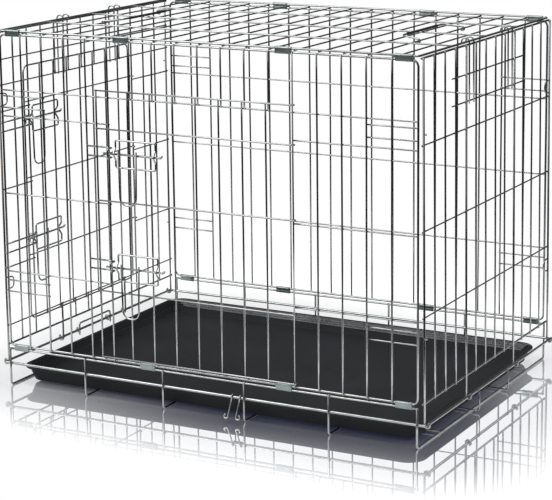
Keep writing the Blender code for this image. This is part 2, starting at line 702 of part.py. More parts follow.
def handle_grip(name, side):
    """A plastic sleeve on the straight part of the bail."""
    place = handle_place(side)
    radius = HANDLE_EYE
    bore = HANDLE_WIRE + GAP
    profile = ((bore, -GRIP_HALF), (GRIP_RADIUS - 0.0008, -GRIP_HALF), (GRIP_RADIUS, -GRIP_HALF + 0.0012),
               (GRIP_RADIUS, GRIP_HALF - 0.0012), (GRIP_RADIUS - 0.0008, GRIP_HALF), (bore, GRIP_HALF))
    steps = 12
    mesh = bmesh.new()
    rings = []
    for distance, y in profile:
        ring = []
        for k in range(steps):
            t = 2 * pi * k / steps
            ring.append(mesh.verts.new(place(HANDLE_REACH + distance * cos(t), y, radius + distance * sin(t))))
        rings.append(ring)
    for one, two in zip(rings, rings[1:] + rings[:1]):
        for k in range(steps):
            nxt = (k + 1) % steps
            mesh.faces.new((one[k], one[nxt], two[nxt], two[k]))
    body = bpy.data.objects.new(name, finish_mesh(mesh, name))
    bpy.context.collection.objects.link(body)
    return body


# Tray

def tray():
    """A moulded tray: sloping walls, a ledge inside and a flat rim."""
    rim_x = HALF_FRAME - TRAY_END_CLEAR
    rim_y = HINGE_Y - TRAY_SIDE_CLEAR
    levels = (
        (TRAY_SLOPE, TRAY_BOTTOM, 0.022),
        (TRAY_LIP, TRAY_TOP - TRAY_LIP_THICK, 0.026),
        (0.0, TRAY_TOP - TRAY_LIP_THICK, 0.031),
        (0.0, TRAY_TOP, 0.031),
        (TRAY_LIP + TRAY_WALL, TRAY_TOP, 0.024),
        (TRAY_LIP + TRAY_WALL + 0.002, TRAY_TOP - TRAY_LEDGE, 0.022),
        (TRAY_LIP + TRAY_WALL + 0.005, TRAY_TOP - TRAY_LEDGE - 0.001, 0.020),
        (TRAY_SLOPE + TRAY_WALL, TRAY_BOTTOM + TRAY_WALL, 0.018),
    )
    mesh = bmesh.new()
    rings = []
    for inset, height, radius in levels:
        half_x = rim_x - inset
        half_y = rim_y - inset
        corners = [(-half_x, -half_y, height), (half_x, -half_y, height),
                   (half_x, half_y, height), (-half_x, half_y, height)]
        rings.append([mesh.verts.new(p) for p in rounded(corners, radius, 5, closed=True)])
    count = len(rings[0])
    for low, high in zip(rings, rings[1:]):
        for k in range(count):
            nxt = (k + 1) % count
            mesh.faces.new((low[k], low[nxt], high[nxt], high[k]))
    mesh.faces.new(rings[0])
    mesh.faces.new(rings[-1])
    body = bpy.data.objects.new("tray", finish_mesh(mesh, "tray"))
    bpy.context.collection.objects.link(body)
    return body


def tray_catch():
    """A wire staple that turns on the base ring over the tray's left rim."""
    radius = RING + HANDLE_WIRE + GAP
    x = -RING_X + radius
    foot = TRAY_TOP + 2 * GAP
    corners = [(x, -CATCH_HALF, foot), (x, -CATCH_HALF, CATCH_TOP), (x, CATCH_HALF, CATCH_TOP), (x, CATCH_HALF, foot)]
    staple = [(rounded(corners, 0.005, 3), HANDLE_WIRE, (1, 0, 0))]
    eyes = []
    for y in (-CATCH_HALF + 0.0028, CATCH_HALF - 0.0028):
        ring = arc((-RING_X, y, RING_HEIGHT), (1, 0, 0), (0, 0, 1), radius, 0, 320, 10)
        eyes.append((ring, HANDLE_WIRE, (0, 1, 0)))
    return welded("tray_catch", [staple, eyes])


def base_hook():
    """A wire hairpin that hangs on the base ring in front, with its two ends curled."""
    radius = RING + MESH + GAP
    far = FRAME_LENGTH / LEG_BAYS / 2 - BASE_HOOK_STEP
    near = far - BASE_HOOK_WIDTH
    centre_y = -RING_Y
    down = Vector((0, -sin(BASE_HOOK_CURL_LEAN), -cos(BASE_HOOK_CURL_LEAN)))
    route = []
    for x, turn in ((near, -1), (far, 1)):
        over = arc((x, centre_y, RING_HEIGHT), (0, -1, 0), (0, 0, 1), radius, -25, 215, 7)
        low = Vector((x, centre_y - BASE_HOOK_LEAN, RING_HEIGHT - BASE_HOOK_DROP))
        curl = arc(low + Vector((turn * 0.0036, 0, 0)), (-turn, 0, 0), down, 0.0036, 0, 250, 6)
        route.append(curl[::-1] + over)
    points = route[0] + route[1][::-1]
    mesh = bmesh.new()
    sweep(mesh, points, MESH, (1, 0, 0))
    body = bpy.data.objects.new("base_hook", finish_mesh(mesh, "base_hook"))
    bpy.context.collection.objects.link(body)
    return body


# Putting the crate together

def clear_scene():
    for old in list(bpy.data.objects):
        bpy.data.objects.remove(old, do_unlink=True)


def finish_of(name, kind):
    colours = {
        "wire": ((0.60, 0.61, 0.62), 0.34, 1.0),
        "ring": ((0.56, 0.58, 0.58), 0.38, 1.0),
        "sheet": ((0.66, 0.67, 0.68), 0.30, 1.0),
        "tray": ((0.012, 0.013, 0.013), 0.42, 0.0),
        "grip": ((0.018, 0.018, 0.019), 0.50, 0.0),
    }
    return material(f"{name}_finish", *colours[kind])


def centre_on_floor(root):
    """Shift the whole crate so that its outer box is centred over the origin."""
    bpy.context.view_layer.update()
    corners = [body.matrix_world @ vertex.co for body in bpy.data.objects if body.type == "MESH"
               for vertex in body.data.vertices]
    for axis in (0, 1):
        reach = [corner[axis] for corner in corners]
        root.location[axis] = -(min(reach) + max(reach)) / 2


def build():
    clear_scene()
    root = empty("crate", (0, 0, 0))
    front_pivot = empty("front_pivot", (0, -HINGE_Y, PANEL_FOOT), root)
    back_pivot = empty("back_pivot", (0, HINGE_Y, PANEL_FOOT), root)
    top_pivot = empty("top_pivot", (0, -HINGE_Y, SIDE_TOP), front_pivot)
    left_pivot = empty("left_pivot", (-RING_X, 0, RING_HEIGHT), root)
    right_pivot = empty("right_pivot", (RING_X, 0, RING_HEIGHT), root)
    front_hinge = long_wire(FRONT_DOORWAY[1])
    left_hinge = end_wire(LEFT_DOORWAY[1])
    front_door_pivot = empty("front_door_pivot", front(front_hinge, UP_LAYER, PANEL_FOOT), front_pivot)
    left_door_pivot = empty("left_door_pivot", left(left_hinge, UP_LAYER, PANEL_FOOT), left_pivot)
    hook_pivot = empty("base_hook_pivot", (0, -RING_Y, RING_HEIGHT), root)
    catch_pivot = empty("tray_catch_pivot", (-RING_X, 0, RING_HEIGHT), root)

    put(base_frame(), finish_of("base_frame", "ring"), root)
    put(tray(), finish_of("tray", "tray"), root)
    put(tray_catch(), finish_of("tray_catch", "wire"), catch_pivot)
    put(base_hook(), finish_of("base_hook", "wire"), hook_pivot)
    put(front_panel(), finish_of("front_panel", "wire"), front_pivot)
    put(back_panel(), finish_of("back_panel", "wire"), back_pivot)
    put(top_panel(), finish_of("top_panel", "wire"), top_pivot)
    put(end_panel("left_end_panel", left, LEFT_DOORWAY, -1), finish_of("left_end_panel", "wire"), left_pivot)
    put(end_panel("right_end_panel", right, None, 1), finish_of("right_end_panel", "wire"), right_pivot)
    put(front_door(), finish_of("front_door", "wire"), front_door_pivot)
    put(left_door(), finish_of("left_door", "wire"), left_door_pivot)

    front_edge = long_wire(FRONT_DOORWAY[0])
    left_edge = end_wire(LEFT_DOORWAY[0])
    latches = (
        ("front_upper", front, front_edge, FRONT_BOLTS[0], long_wire(FRONT_DOORWAY[0] - 1),
         front_door_pivot, front_pivot),
        ("front_lower", front, front_edge, FRONT_BOLTS[1], long_wire(FRONT_DOORWAY[0] - 1),
         front_door_pivot, front_pivot),
        ("left_upper", left, left_edge, LEFT_BOLTS[0], -END_HALF, left_door_pivot, left_pivot),
        ("left_lower", left, left_edge, LEFT_BOLTS[1], -END_HALF, left_door_pivot, left_pivot),
    )
    for name, place, edge, height, far_wire, door_pivot, panel_pivot in latches:
        put(latch_guide(f"{name}_latch_guide", place, edge, height), finish_of(f"{name}_guide", "wire"), door_pivot)
        put(latch_bolt(f"{name}_latch_bolt", place, edge, height), finish_of(f"{name}_bolt", "wire"), door_pivot)
        keeper = latch_keeper(f"{name}_latch_keeper", place, edge, height, far_wire - 0.0020)
        put(keeper, finish_of(f"{name}_keeper", "wire"), panel_pivot)

    edges = (
        ("front_top", -HINGE_Y, SIDE_TOP, TOP_RAIL, CLIP_BAYS, top_pivot),
        ("back_top", HINGE_Y, SIDE_TOP, TOP_RAIL, CLIP_BAYS, top_pivot),
        ("front_base", -HINGE_Y, BASE_RAIL, PANEL_FOOT, FRONT_LOW_CLIP_BAYS, root),
        ("back_base", HINGE_Y, BASE_RAIL, PANEL_FOOT, CLIP_BAYS, root),
    )
    for name, y, low, high, bays, pivot in edges:
        for number, bay in enumerate(bays, 1):
            clip = hinge_clip(f"{name}_clip_{number}", long_wire(bay), y, low, high)
            put(clip, finish_of(clip.name, "sheet"), pivot)

    for name, place, pivot in (("left", left, left_pivot), ("right", right, right_pivot)):
        for spot, u in (("front", -HOOK_CENTRE), ("back", HOOK_CENTRE)):
            hook = end_hook(f"{name}_end_hook_{spot}", place, u)
            put(hook, finish_of(hook.name, "wire"), pivot)

    for name, side in (("left", -1), ("right", 1)):
        pivot = empty(f"{name}_handle_pivot", handle_place(side)(0, 0, 0), top_pivot)
        put(handle_bail(f"{name}_handle_bail", side), finish_of(f"{name}_bail", "wire"), pivot)
        put(handle_grip(f"{name}_handle_grip", side), finish_of(f"{name}_grip", "grip"), pivot)
    centre_on_floor(root)


build()
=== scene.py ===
import random
from math import asin, cos, pi, radians, sin, tan

import bpy
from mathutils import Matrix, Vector


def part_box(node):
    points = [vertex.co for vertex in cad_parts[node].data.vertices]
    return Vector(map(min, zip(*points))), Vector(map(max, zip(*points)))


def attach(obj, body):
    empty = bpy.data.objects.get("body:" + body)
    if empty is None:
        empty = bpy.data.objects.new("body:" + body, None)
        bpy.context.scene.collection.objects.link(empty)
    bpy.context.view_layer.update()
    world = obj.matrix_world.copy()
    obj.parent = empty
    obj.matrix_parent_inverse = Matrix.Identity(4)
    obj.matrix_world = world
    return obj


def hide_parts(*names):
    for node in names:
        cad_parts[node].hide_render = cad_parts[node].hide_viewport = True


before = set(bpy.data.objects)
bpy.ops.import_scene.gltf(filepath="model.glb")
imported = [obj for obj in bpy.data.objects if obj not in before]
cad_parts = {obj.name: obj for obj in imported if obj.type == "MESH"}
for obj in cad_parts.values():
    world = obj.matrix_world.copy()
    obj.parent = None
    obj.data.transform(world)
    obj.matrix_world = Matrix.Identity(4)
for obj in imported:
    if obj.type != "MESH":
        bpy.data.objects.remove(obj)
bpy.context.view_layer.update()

# Base. Six wires bent into a flat U are the legs. Two upper rails and a thick ring are welded to them, and
# four thin wires run along the floor under the tray. It is drawn steel wire, resistance-welded at every
# crossing and zinc-plated afterwards, so the weld spots have the same plating but a duller, rougher skin.
tray_low, tray_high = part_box("tray")
MIDDLE = (tray_low + tray_high) / 2  # every place below is measured from under the middle of the tray
HALF_LENGTH = 0.390
HALF_DEPTH = 0.27535
LEGS = 6
LEG_BEND = 0.006
BASE_RAIL = 0.0665  # height of the two upper rails
RING_HEIGHT = 0.040
RING_END = HALF_LENGTH + 0.014
RING_BEND = 0.0032
THICK = 0.0018  # radius of the wire of legs, rails, posts and bolts
RING_THICK = 0.0023
FLOOR_THIN = 0.0012
STICK_OUT = 0.0012  # a wire's end sticks out this far past the wire it is welded to
LEG_FACE = HALF_DEPTH + 0.00306  # the legs stand outside the upper rails
RING_FACE = LEG_FACE - 0.00325  # the ring lies inside the legs
FLOOR_HEIGHT = 0.00394
FLOOR_WELD_HEIGHT = 0.0031
FLOOR_PITCH = 0.128
FLOOR_BEND = 0.005
BOW = 0.0003  # a long straight wire bows aside up to this far
RAIL_SPOT, RING_SPOT, UPTURN_SPOT, FLOOR_SPOT = 0.0028, 0.0032, 0.0024, 0.0022  # reach of the weld spots
ALONG, BACK, UP = Vector((1, 0, 0)), Vector((0, 1, 0)), Vector((0, 0, 1))


def spot(x, y, z):
    """A place on the crate."""
    return Vector((MIDDLE.x + x, MIDDLE.y + y, z))


def level_corners(half_x, half_y, z):
    """The corners of a level rectangle round the crate's middle."""
    return [spot(x * half_x, y * half_y, z) for x, y in ((-1, -1), (1, -1), (1, 1), (-1, 1))]


def bent(corners, radius, steps, closed=False):
    """A wire's route with each corner bent to a radius."""
    corners = [Vector(p) for p in corners]
    count = len(corners)
    route = []
    for i, corner in enumerate(corners):
        if not closed and i in (0, count - 1):
            route.append(corner)
            continue
        before = (corners[i - 1] - corner).normalized()
        after = (corners[(i + 1) % count] - corner).normalized()
        turn = pi - before.angle(after)
        if turn < 0.02:
            route.append(corner)
            continue
        centre = corner + (before + after).normalized() * (radius / cos(turn / 2))
        start = corner + before * (radius * tan(turn / 2)) - centre
        end = corner + after * (radius * tan(turn / 2)) - centre
        for k in range(steps + 1):
            share = k / steps
            from_start, from_end = sin((1 - share) * turn) / sin(turn), sin(share * turn) / sin(turn)
            route.append(centre + start * from_start + end * from_end)
    return route


def curled(centre, first, second, radius, start, end, steps):
    """Part of a circle in the plane of two directions, between two angles in degrees."""
    turns = [radians(start + (end - start) * k / steps) for k in range(steps + 1)]
    return [centre + (first * cos(t) + second * sin(t)) * radius for t in turns]


def shaped(name, points, faces, finishes, sharp_angle):
    """An object made of faces, smooth except where they meet at more than an angle in degrees."""
    mesh = bpy.data.meshes.new(name)
    mesh.from_pydata(points, [], faces)
    for finish in finishes:
        mesh.materials.append(finish)
    mesh.shade_smooth()
    mesh.set_sharp_from_angle(angle=radians(sharp_angle))
    made = bpy.data.objects.new(name, mesh)
    bpy.context.collection.objects.link(made)
    return made


def mark_length(made, marks):
    """Gives each corner of each face its length along the metal and its share of the way round it."""
    layer = made.data.uv_layers.new(name="along_the_metal")
    layer.data.foreach_set("uv", [number for mark in marks for number in mark])


class WireWork:
    """The wires and weld spots of one piece, gathered into one mesh."""

    CUT_FACE, CUT_LENGTH = 0.72, 0.3  # a cut end's chamfer, in shares of the wire's radius
    BOW_STEP = 0.035  # a bowed wire has a point about every 35 mm
    SPOT_SIDES = 8
    SPOT_SECTION = ((-0.5, 0.75), (0.0, 1.0), (0.5, 0.75))
    SPOT_LIFT, SPOT_TIP = 0.62, 0.45  # a spot's heights, in shares of its reach

    def __init__(self, seed):
        self.chance = random.Random(seed)
        self.points, self.faces, self.marks, self.skins = [], [], [], []

    def add(self, face, marks, skin=0):
        self.faces.append(face)
        self.marks.extend(marks)
        self.skins.append(skin)

    def wire(self, route, radius, closed=False, bow=0.0, sides=12, skin=0):
        """A round wire along a route, with chamfered cut ends. A straight one may bow between its ends."""
        route = [Vector(p) for p in route]
        if bow and len(route) == 2:
            route = self.bowed(route, bow)
        count = len(route)
        runs = [(route[(i + 1) % count] - route[i]).normalized() for i in range(count)]
        slant = (runs[0] + runs[-1]).normalized() if closed else runs[0]
        first = runs[0].orthogonal().normalized()
        second = runs[0].cross(first)
        ring = []
        for k in range(sides):
            edge = (first * cos(2 * pi * k / sides) + second * sin(2 * pi * k / sides)) * radius
            ring.append(route[0] + edge - runs[0] * (edge.dot(slant) / runs[0].dot(slant)))
        rings, lengths = [ring], [self.chance.uniform(0, 3)]
        for i in range(1, count):
            before = runs[i - 1]
            last = i == count - 1 and not closed
            cut = before if last else (before + runs[i]).normalized()
            rings.append([p + before * ((route[i] - p).dot(cut) / before.dot(cut)) for p in rings[-1]])
            lengths.append(lengths[-1] + (route[i] - route[i - 1]).length)
        if closed:
            rings.append(rings[0])
            lengths.append(lengths[-1] + (route[0] - route[-1]).length)
        else:
            for at, run, end in ((0, runs[0], 1), (-1, runs[count - 2], -1)):
                face = [route[at] + (p - route[at]) * self.CUT_FACE for p in rings[at]]
                rings[at] = [p + run * end * radius * self.CUT_LENGTH for p in rings[at]]
                rings.insert(0 if end == 1 else len(rings), face)
                lengths.insert(0 if end == 1 else len(lengths), lengths[at])
        start = len(self.points)
        distinct = len(rings) - 1 if closed else len(rings)
        for ring in rings[:distinct]:
            self.points.extend(ring)
        for i in range(len(rings) - 1):
            low, high = start + i * sides, start + (i + 1) % distinct * sides
            for k in range(sides):
                nxt = (k + 1) % sides
                u, v, a, b = lengths[i], lengths[i + 1], k / sides, (k + 1) / sides
                self.add((low + k, low + nxt, high + nxt, high + k), [(u, a), (u, b), (v, b), (v, a)], skin)
        if not closed:
            tail = start + (distinct - 1) * sides
            self.add(tuple(range(start + sides - 1, start - 1, -1)), [(lengths[0], 0.5)] * sides, skin)
            self.add(tuple(range(tail, tail + sides)), [(lengths[-1], 0.5)] * sides, skin)

    def bowed(self, route, bow):
        """A straight route pushed aside in two uneven waves, and held at its ends."""
        start, end = route
        run = end - start
        steps = max(2, round(run.length / self.BOW_STEP))
        first = run.orthogonal().normalized()
        second = run.cross(first).normalized()
        waves = [(self.chance.uniform(-bow, bow), self.chance.uniform(0.6, 2.2)) for _ in range(2)]
        out = []
        for k in range(steps + 1):
            t = k / steps
            hold = sin(pi * t)
            push = [size * hold * sin(pi * t * turns) for size, turns in waves]
            out.append(start + run * t + first * push[0] + second * push[1])
        return out

    def weld(self, place, facing, reach):
        """The small bulge of metal that is pressed out where two wires are welded."""
        facing = facing.normalized()
        first = facing.orthogonal().normalized()
        second = facing.cross(first)
        start, sides = len(self.points), self.SPOT_SIDES
        for lift, spread in self.SPOT_SECTION:
            uneven = reach * self.chance.uniform(0.88, 1.10)
            for k in range(sides):
                t = 2 * pi * k / sides
                self.points.append(place + (first * cos(t) + second * sin(t)) * uneven * spread
                                   + facing * reach * self.SPOT_LIFT * lift)
        tip = facing * reach * self.SPOT_TIP
        self.points += [place - tip, place + tip]
        middle, top = start + sides, start + 2 * sides
        low, high = start + 3 * sides, start + 3 * sides + 1
        marks = [(0, 0), (0.001, 0), (0.001, 0.1), (0, 0.1)]
        for k in range(sides):
            nxt = (k + 1) % sides
            for a, b in ((start, middle), (middle, top)):
                self.add((a + k, a + nxt, b + nxt, b + k), marks, 1)
            self.add((start + nxt, start + k, low), marks[:2] + marks[3:], 1)
            self.add((top + k, top + nxt, high), marks[:2] + marks[3:], 1)

    def piece(self, name, *finishes):
        """All that was gathered, as one object."""
        made = shaped(name, self.points, self.faces, finishes, 55)
        made.data.polygons.foreach_set("material_index", self.skins)
        mark_length(made, self.marks)
        return made


class Shading:
    """The nodes of one material, or of the room."""

    def __init__(self, owner):
        owner.use_nodes = True
        self.nodes, self.links = owner.node_tree.nodes, owner.node_tree.links

    def feed(self, node, inputs):
        """Links an input that is given a socket, and sets one that is given a number or a colour."""
        for name, value in inputs.items():
            if isinstance(value, bpy.types.NodeSocket):
                self.links.new(value, node.inputs[name])
            else:
                node.inputs[name].default_value = value

    def add(self, kind, inputs, **settings):
        """One node, with its settings made and its inputs fed."""
        node = self.nodes.new("ShaderNode" + kind)
        for setting, value in settings.items():
            setattr(node, setting, value)
        self.feed(node, inputs)
        return node

    def noise(self, place, scale, detail):
        return self.add("TexNoise", {"Vector": place, "Scale": scale, "Detail": detail}).outputs["Fac"]

    def slope(self, value, start, end, low, high, **settings):
        """A number that goes from low to high while the value goes from start to end."""
        return self.add("MapRange", {"Value": value, "From Min": start, "From Max": end,
                                     "To Min": low, "To Max": high}, **settings).outputs["Result"]

    def tones(self, value, low, low_colour, high, high_colour):
        """A colour that goes from one to the other while the value goes from low to high."""
        node = self.add("ValToRGB", {"Fac": value})
        ends = zip(node.color_ramp.elements, ((low, low_colour), (high, high_colour)))
        for end, (position, colour) in ends:
            end.position = position
            end.color = (*colour, 1)
        return node.outputs["Color"]

    def relief(self, height, strength, distance):
        node = self.add("Bump", {"Height": height, "Strength": strength, "Distance": distance})
        return node.outputs["Normal"]


def plated_steel(name, colour, dull, gloss, bump=0.12):
    """Zinc-plated steel with draw marks along the wire and cloudy plating."""
    finish = bpy.data.materials.new(name)
    shading = Shading(finish)
    place = shading.add("TexCoord", {}).outputs
    along = shading.add("Mapping", {"Vector": place["UV"], "Scale": (70, 9, 1)}).outputs["Vector"]
    drawn = shading.noise(along, 1.0, 4.0)
    clouds = shading.noise(place["Object"], 38.0, 3.0)
    shading.feed(shading.nodes["Principled BSDF"], {
        "Metallic": 1.0,
        "Base Color": shading.tones(clouds, 0.30, dull, 0.68, colour),
        "Roughness": shading.slope(drawn, 0.3, 0.7, gloss - 0.06, gloss + 0.08),
        "Normal": shading.relief(drawn, bump, 0.0002)})
    return finish


ring_steel = plated_steel("zinc_on_thick_wire", (0.50, 0.525, 0.52), (0.36, 0.39, 0.38), 0.18)
weld_steel = plated_steel("zinc_on_welds", (0.34, 0.355, 0.35), (0.22, 0.235, 0.23), 0.34, 0.5)

base = WireWork(11)
leg_places = [-HALF_LENGTH + 2 * HALF_LENGTH / (LEGS - 1) * number for number in range(LEGS)]
leg_top, rail_end = BASE_RAIL + STICK_OUT, HALF_LENGTH + STICK_OUT
rail_weld, ring_weld = HALF_DEPTH + 0.0015, RING_FACE + 0.0018
for x in leg_places:
    base.wire(bent([spot(x, -LEG_FACE, leg_top), spot(x, -LEG_FACE, THICK),
                    spot(x, LEG_FACE, THICK), spot(x, LEG_FACE, leg_top)], LEG_BEND, 6), THICK)
    for side in (-1, 1):
        base.weld(spot(x, side * rail_weld, BASE_RAIL), BACK, RAIL_SPOT)
        base.weld(spot(x, side * ring_weld, RING_HEIGHT), BACK, RING_SPOT)
for y in (-HALF_DEPTH, HALF_DEPTH):
    base.wire([spot(-rail_end, y, BASE_RAIL), spot(rail_end, y, BASE_RAIL)], THICK, bow=BOW)
ring_corners = level_corners(RING_END, RING_FACE, RING_HEIGHT)
base.wire(bent(ring_corners, RING_BEND, 6, True), RING_THICK, True, sides=14)
upturn = RING_END + 0.00282  # the two inner floor wires turn up here, outside the ring
for share in (-1.5, -0.5, 0.5, 1.5):
    y = share * FLOOR_PITCH
    if abs(share) < 1:
        base.wire(bent([spot(-rail_end, y, FLOOR_HEIGHT), spot(upturn, y, FLOOR_HEIGHT),
                        spot(upturn, y, RING_HEIGHT + STICK_OUT)], FLOOR_BEND, 6), FLOOR_THIN)
        base.weld(spot(RING_END + 0.0020, y, RING_HEIGHT), ALONG, UPTURN_SPOT)
    else:
        base.wire([spot(-rail_end, y, FLOOR_HEIGHT), spot(rail_end, y, FLOOR_HEIGHT)], FLOOR_THIN)
    for x in leg_places:
        base.weld(spot(x, y, FLOOR_WELD_HEIGHT), UP, FLOOR_SPOT)
base_wires = base.piece("base_wires", ring_steel, weld_steel)
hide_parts("base_frame")
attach(base_wires, "base")

# Tray. A shallow pan of black plastic, formed over a mould, that slides on the floor wires. Its walls slope
# and are stepped inside, and the flat rim has a shallow channel. The steps at the back are painted grey as a
# painted sheen of light on the grained plastic.
RIM_X = HALF_LENGTH - 0.005
RIM_Y = HALF_DEPTH - 0.01335
RIM_CORNER, CORNER_TAPER = 0.031, 0.7  # a corner's radius shrinks by this share of the inset
PAN_FOOT = 0.00537
PAN_RIM = 0.03127
SHEEN_FROM, SHEEN_TO = 0.0074, 0.0129  # the steps with the painted sheen, by their inset from the rim's edge
SHEEN_DEEP = 0.0124
pan_section = (  # inset from the rim's edge, height, and the bend's radius
    (0.0200, PAN_FOOT, 0.0), (0.0140, PAN_FOOT, 0.0020), (0.0056, PAN_RIM - 0.0034, 0.0006),
    (0.0000, PAN_RIM - 0.0034, 0.0007), (0.0000, PAN_RIM, 0.0010), (0.0018, PAN_RIM, 0.0004),
    (0.0024, PAN_RIM - 0.0007, 0.0004), (0.0042, PAN_RIM - 0.0007, 0.0004), (0.0048, PAN_RIM, 0.0004),
    (0.0074, PAN_RIM, 0.0008), (0.0079, PAN_RIM - 0.0036, 0.0005), (0.0091, PAN_RIM - 0.0042, 0.0005),
    (0.0094, PAN_RIM - 0.0075, 0.0005), (0.0107, PAN_RIM - 0.0081, 0.0005),
    (0.0109, PAN_RIM - 0.0115, 0.0005), (0.0128, PAN_RIM - 0.0121, 0.0007),
    (0.0167, PAN_FOOT + 0.0025, 0.0025), (0.0240, PAN_FOOT + 0.0025, 0.0))


def moulded_plastic(name, colour, worn_and_sheen, gloss, grain_size, grain, shine, speckle):
    """Black plastic with a fine moulded grain, mottled towards a second colour; on the tray's back steps that
    grey is a painted sheen of light.
    """
    finish = bpy.data.materials.new(name)
    shading = Shading(finish)
    place = shading.add("TexCoord", {}).outputs["Object"]
    pebbles = shading.add("TexVoronoi", {"Vector": place, "Scale": grain_size}).outputs["Distance"]
    clouds = shading.noise(place, 9.0, 5.0)
    spotted = shading.add("Mix", {"Factor": speckle, "A": clouds, "B": pebbles}, data_type="FLOAT")
    shading.feed(shading.nodes["Principled BSDF"], {
        "Specular IOR Level": shine,
        "Base Color": shading.tones(spotted.outputs["Result"], 0.35, colour, 0.75, worn_and_sheen),
        "Roughness": shading.slope(clouds, 0.3, 0.7, gloss - 0.04, gloss + 0.06),
        "Normal": shading.relief(pebbles, grain, 0.0003)})
    return finish


tray_black = moulded_plastic("black_tray_plastic", (0.016, 0.018, 0.020), (0.026, 0.029, 0.032),
                             0.50, 1400, 0.25, 0.10, 0.2)
# The grey of the back steps is a painted sheen of light on the grained plastic.
sheen_painted_black = moulded_plastic("tray_plastic_with_painted_sheen", (0.030, 0.032, 0.035), (0.270, 0.278, 0.290),
                               0.48, 700, 0.5, 0.30, 0.6)


def softened(section):
    """The pan's section with every bend rounded."""
    out = []
    for i, (inset, height, radius) in enumerate(section):
        if not radius:
            out.append((inset, height))
            continue
        near = [Vector((section[j][0], 0, section[j][1])) for j in (i - 1, i, i + 1)]
        out += [(p.x, p.z) for p in bent(near, radius, 3)[1:-1]]
    return out


def pan_ring(inset, height):
    """The pan's outline at one height: a rectangle with wide corners."""
    corners = level_corners(RIM_X - inset, RIM_Y - inset, height)
    return bent(corners, RIM_CORNER - CORNER_TAPER * inset, 9, True)


pan_points, pan_faces = [], []
pan_rings = [pan_ring(*step) for step in softened(pan_section)]
around = len(pan_rings[0])
for ring in pan_rings:
    pan_points.extend(ring)
for level in range(len(pan_rings) - 1):
    for k in range(around):
        nxt = (k + 1) % around
        low, high = level * around, (level + 1) * around
        pan_faces.append((low + k, low + nxt, high + nxt, high + k))
pan_faces.append(tuple(range(around - 1, -1, -1)))
pan_faces.append(tuple(range((len(pan_rings) - 1) * around, len(pan_rings) * around)))
tray_pan = shaped("tray_pan", pan_points, pan_faces, (tray_black, sheen_painted_black), 60)
# Faces of the back steps take the plastic with the painted grey sheen.
for face in tray_pan.data.polygons:
    inset_at_back = MIDDLE.y + RIM_Y - face.center.y
    if SHEEN_FROM < inset_at_back < SHEEN_TO and face.center.z > PAN_RIM - SHEEN_DEEP:
        face.material_index = 1
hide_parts("tray")
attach(tray_pan, "tray")

# Tray catch. A staple of thin wire whose two ends are curled round the base's ring at the left, so that it
# hangs over the tray's rim and keeps the tray in. It is bent from one wire and only hooked on.
bright_steel = plated_steel("zinc_on_bent_wire", (0.50, 0.515, 0.515), (0.37, 0.385, 0.385), 0.17)
CATCH_WIRE = 0.0016
CATCH_HALF = 0.051
CATCH_TOP, CATCH_FOOT = 0.054, PAN_RIM + 0.0006
CATCH_BEND = 0.005
GAP = 0.0003  # between wires that pass or curl round each other unwelded
CATCH_ROUND = RING_THICK + CATCH_WIRE + GAP
catch = WireWork(12)
catch_x = -RING_END + CATCH_ROUND
catch.wire(bent([spot(catch_x, -CATCH_HALF, CATCH_FOOT), spot(catch_x, -CATCH_HALF, CATCH_TOP),
                 spot(catch_x, CATCH_HALF, CATCH_TOP), spot(catch_x, CATCH_HALF, CATCH_FOOT)],
                CATCH_BEND, 6), CATCH_WIRE)
for y in (-CATCH_HALF + 0.0028, CATCH_HALF - 0.0028):
    catch.wire(curled(spot(-RING_END, y, RING_HEIGHT), ALONG, UP,
                      CATCH_ROUND, 0, 320, 22), CATCH_WIRE)
tray_catch_wire = catch.piece("tray_catch_wire", bright_steel)
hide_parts("tray_catch")
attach(tray_catch_wire, "tray_catch")

# Front and back panels. A rail bent round the panel carries thin uprights outside it, and level wires run
# behind the uprights from side to side. Two short wires stiffen each corner, and the front leaves a doorway.
BAYS = 18
BAY = 2 * HALF_LENGTH / BAYS
SIDE_TOP = 0.619
RAIL_PAIR = 0.0063  # between two rails that turn beside each other in one clip
SIDE_FOOT = BASE_RAIL + RAIL_PAIR
THIN = 0.0013  # radius of the level wires
UPRIGHT = 0.0015  # the uprights are slightly thicker
LAP = 0.0003  # welded wires sink into each other this far
UPRIGHT_OUT = 0.0028  # how far a wire's middle lies outside the rails' middle
LEVEL_OUT = 0.0005
WELD_OUT = (UPRIGHT_OUT + LEVEL_OUT) / 2
RAIL_WELD_OUT = 0.0016
BUTT = 0.0008  # a level wire's end goes this far into the side rail
FRONT_LEVELS, BACK_LEVELS = (0.479, 0.344, 0.206), (0.480, 0.343, 0.208)
CORNER_LEVELS, CORNER_BAYS = (0.514, 0.494, 0.190, 0.170), 2
FRONT_DOORWAY = (5, 13)  # the uprights at its two sides
DOOR_HEAD = 0.524
HANDLE_WIRES = (2, 16)  # the uprights beside the top's cross wires that carry the handles
ASIDE = 0.0005  # a wire that would touch another when folded stands this far aside
FRAME_BEND = 0.010
FOOT_SPOT, HEAD_SPOT, CROSSING_SPOT = 0.0023, 0.0018, 0.0020
mesh_steel = plated_steel("zinc_on_thin_wire", (0.48, 0.49, 0.495), (0.36, 0.37, 0.37), 0.16)


def along(number):
    """How far along the crate an upright or a cross wire stands."""
    return -HALF_LENGTH + BAY * number


def at_front(u, v, w):
    """A place on the front: along it, out from the middle of its rails, and up."""
    return spot(u, -HALF_DEPTH - v, w)


def at_back(u, v, w):
    return spot(u, HALF_DEPTH + v, w)


def facing_out(at):
    return at(0, 1, 0) - at(0, 0, 0)


def upright_corners(at, out, left, right, low, high):
    """The corners of a rectangle that stands on one side of the crate."""
    return [at(left, out, low), at(right, out, low), at(right, out, high), at(left, out, high)]


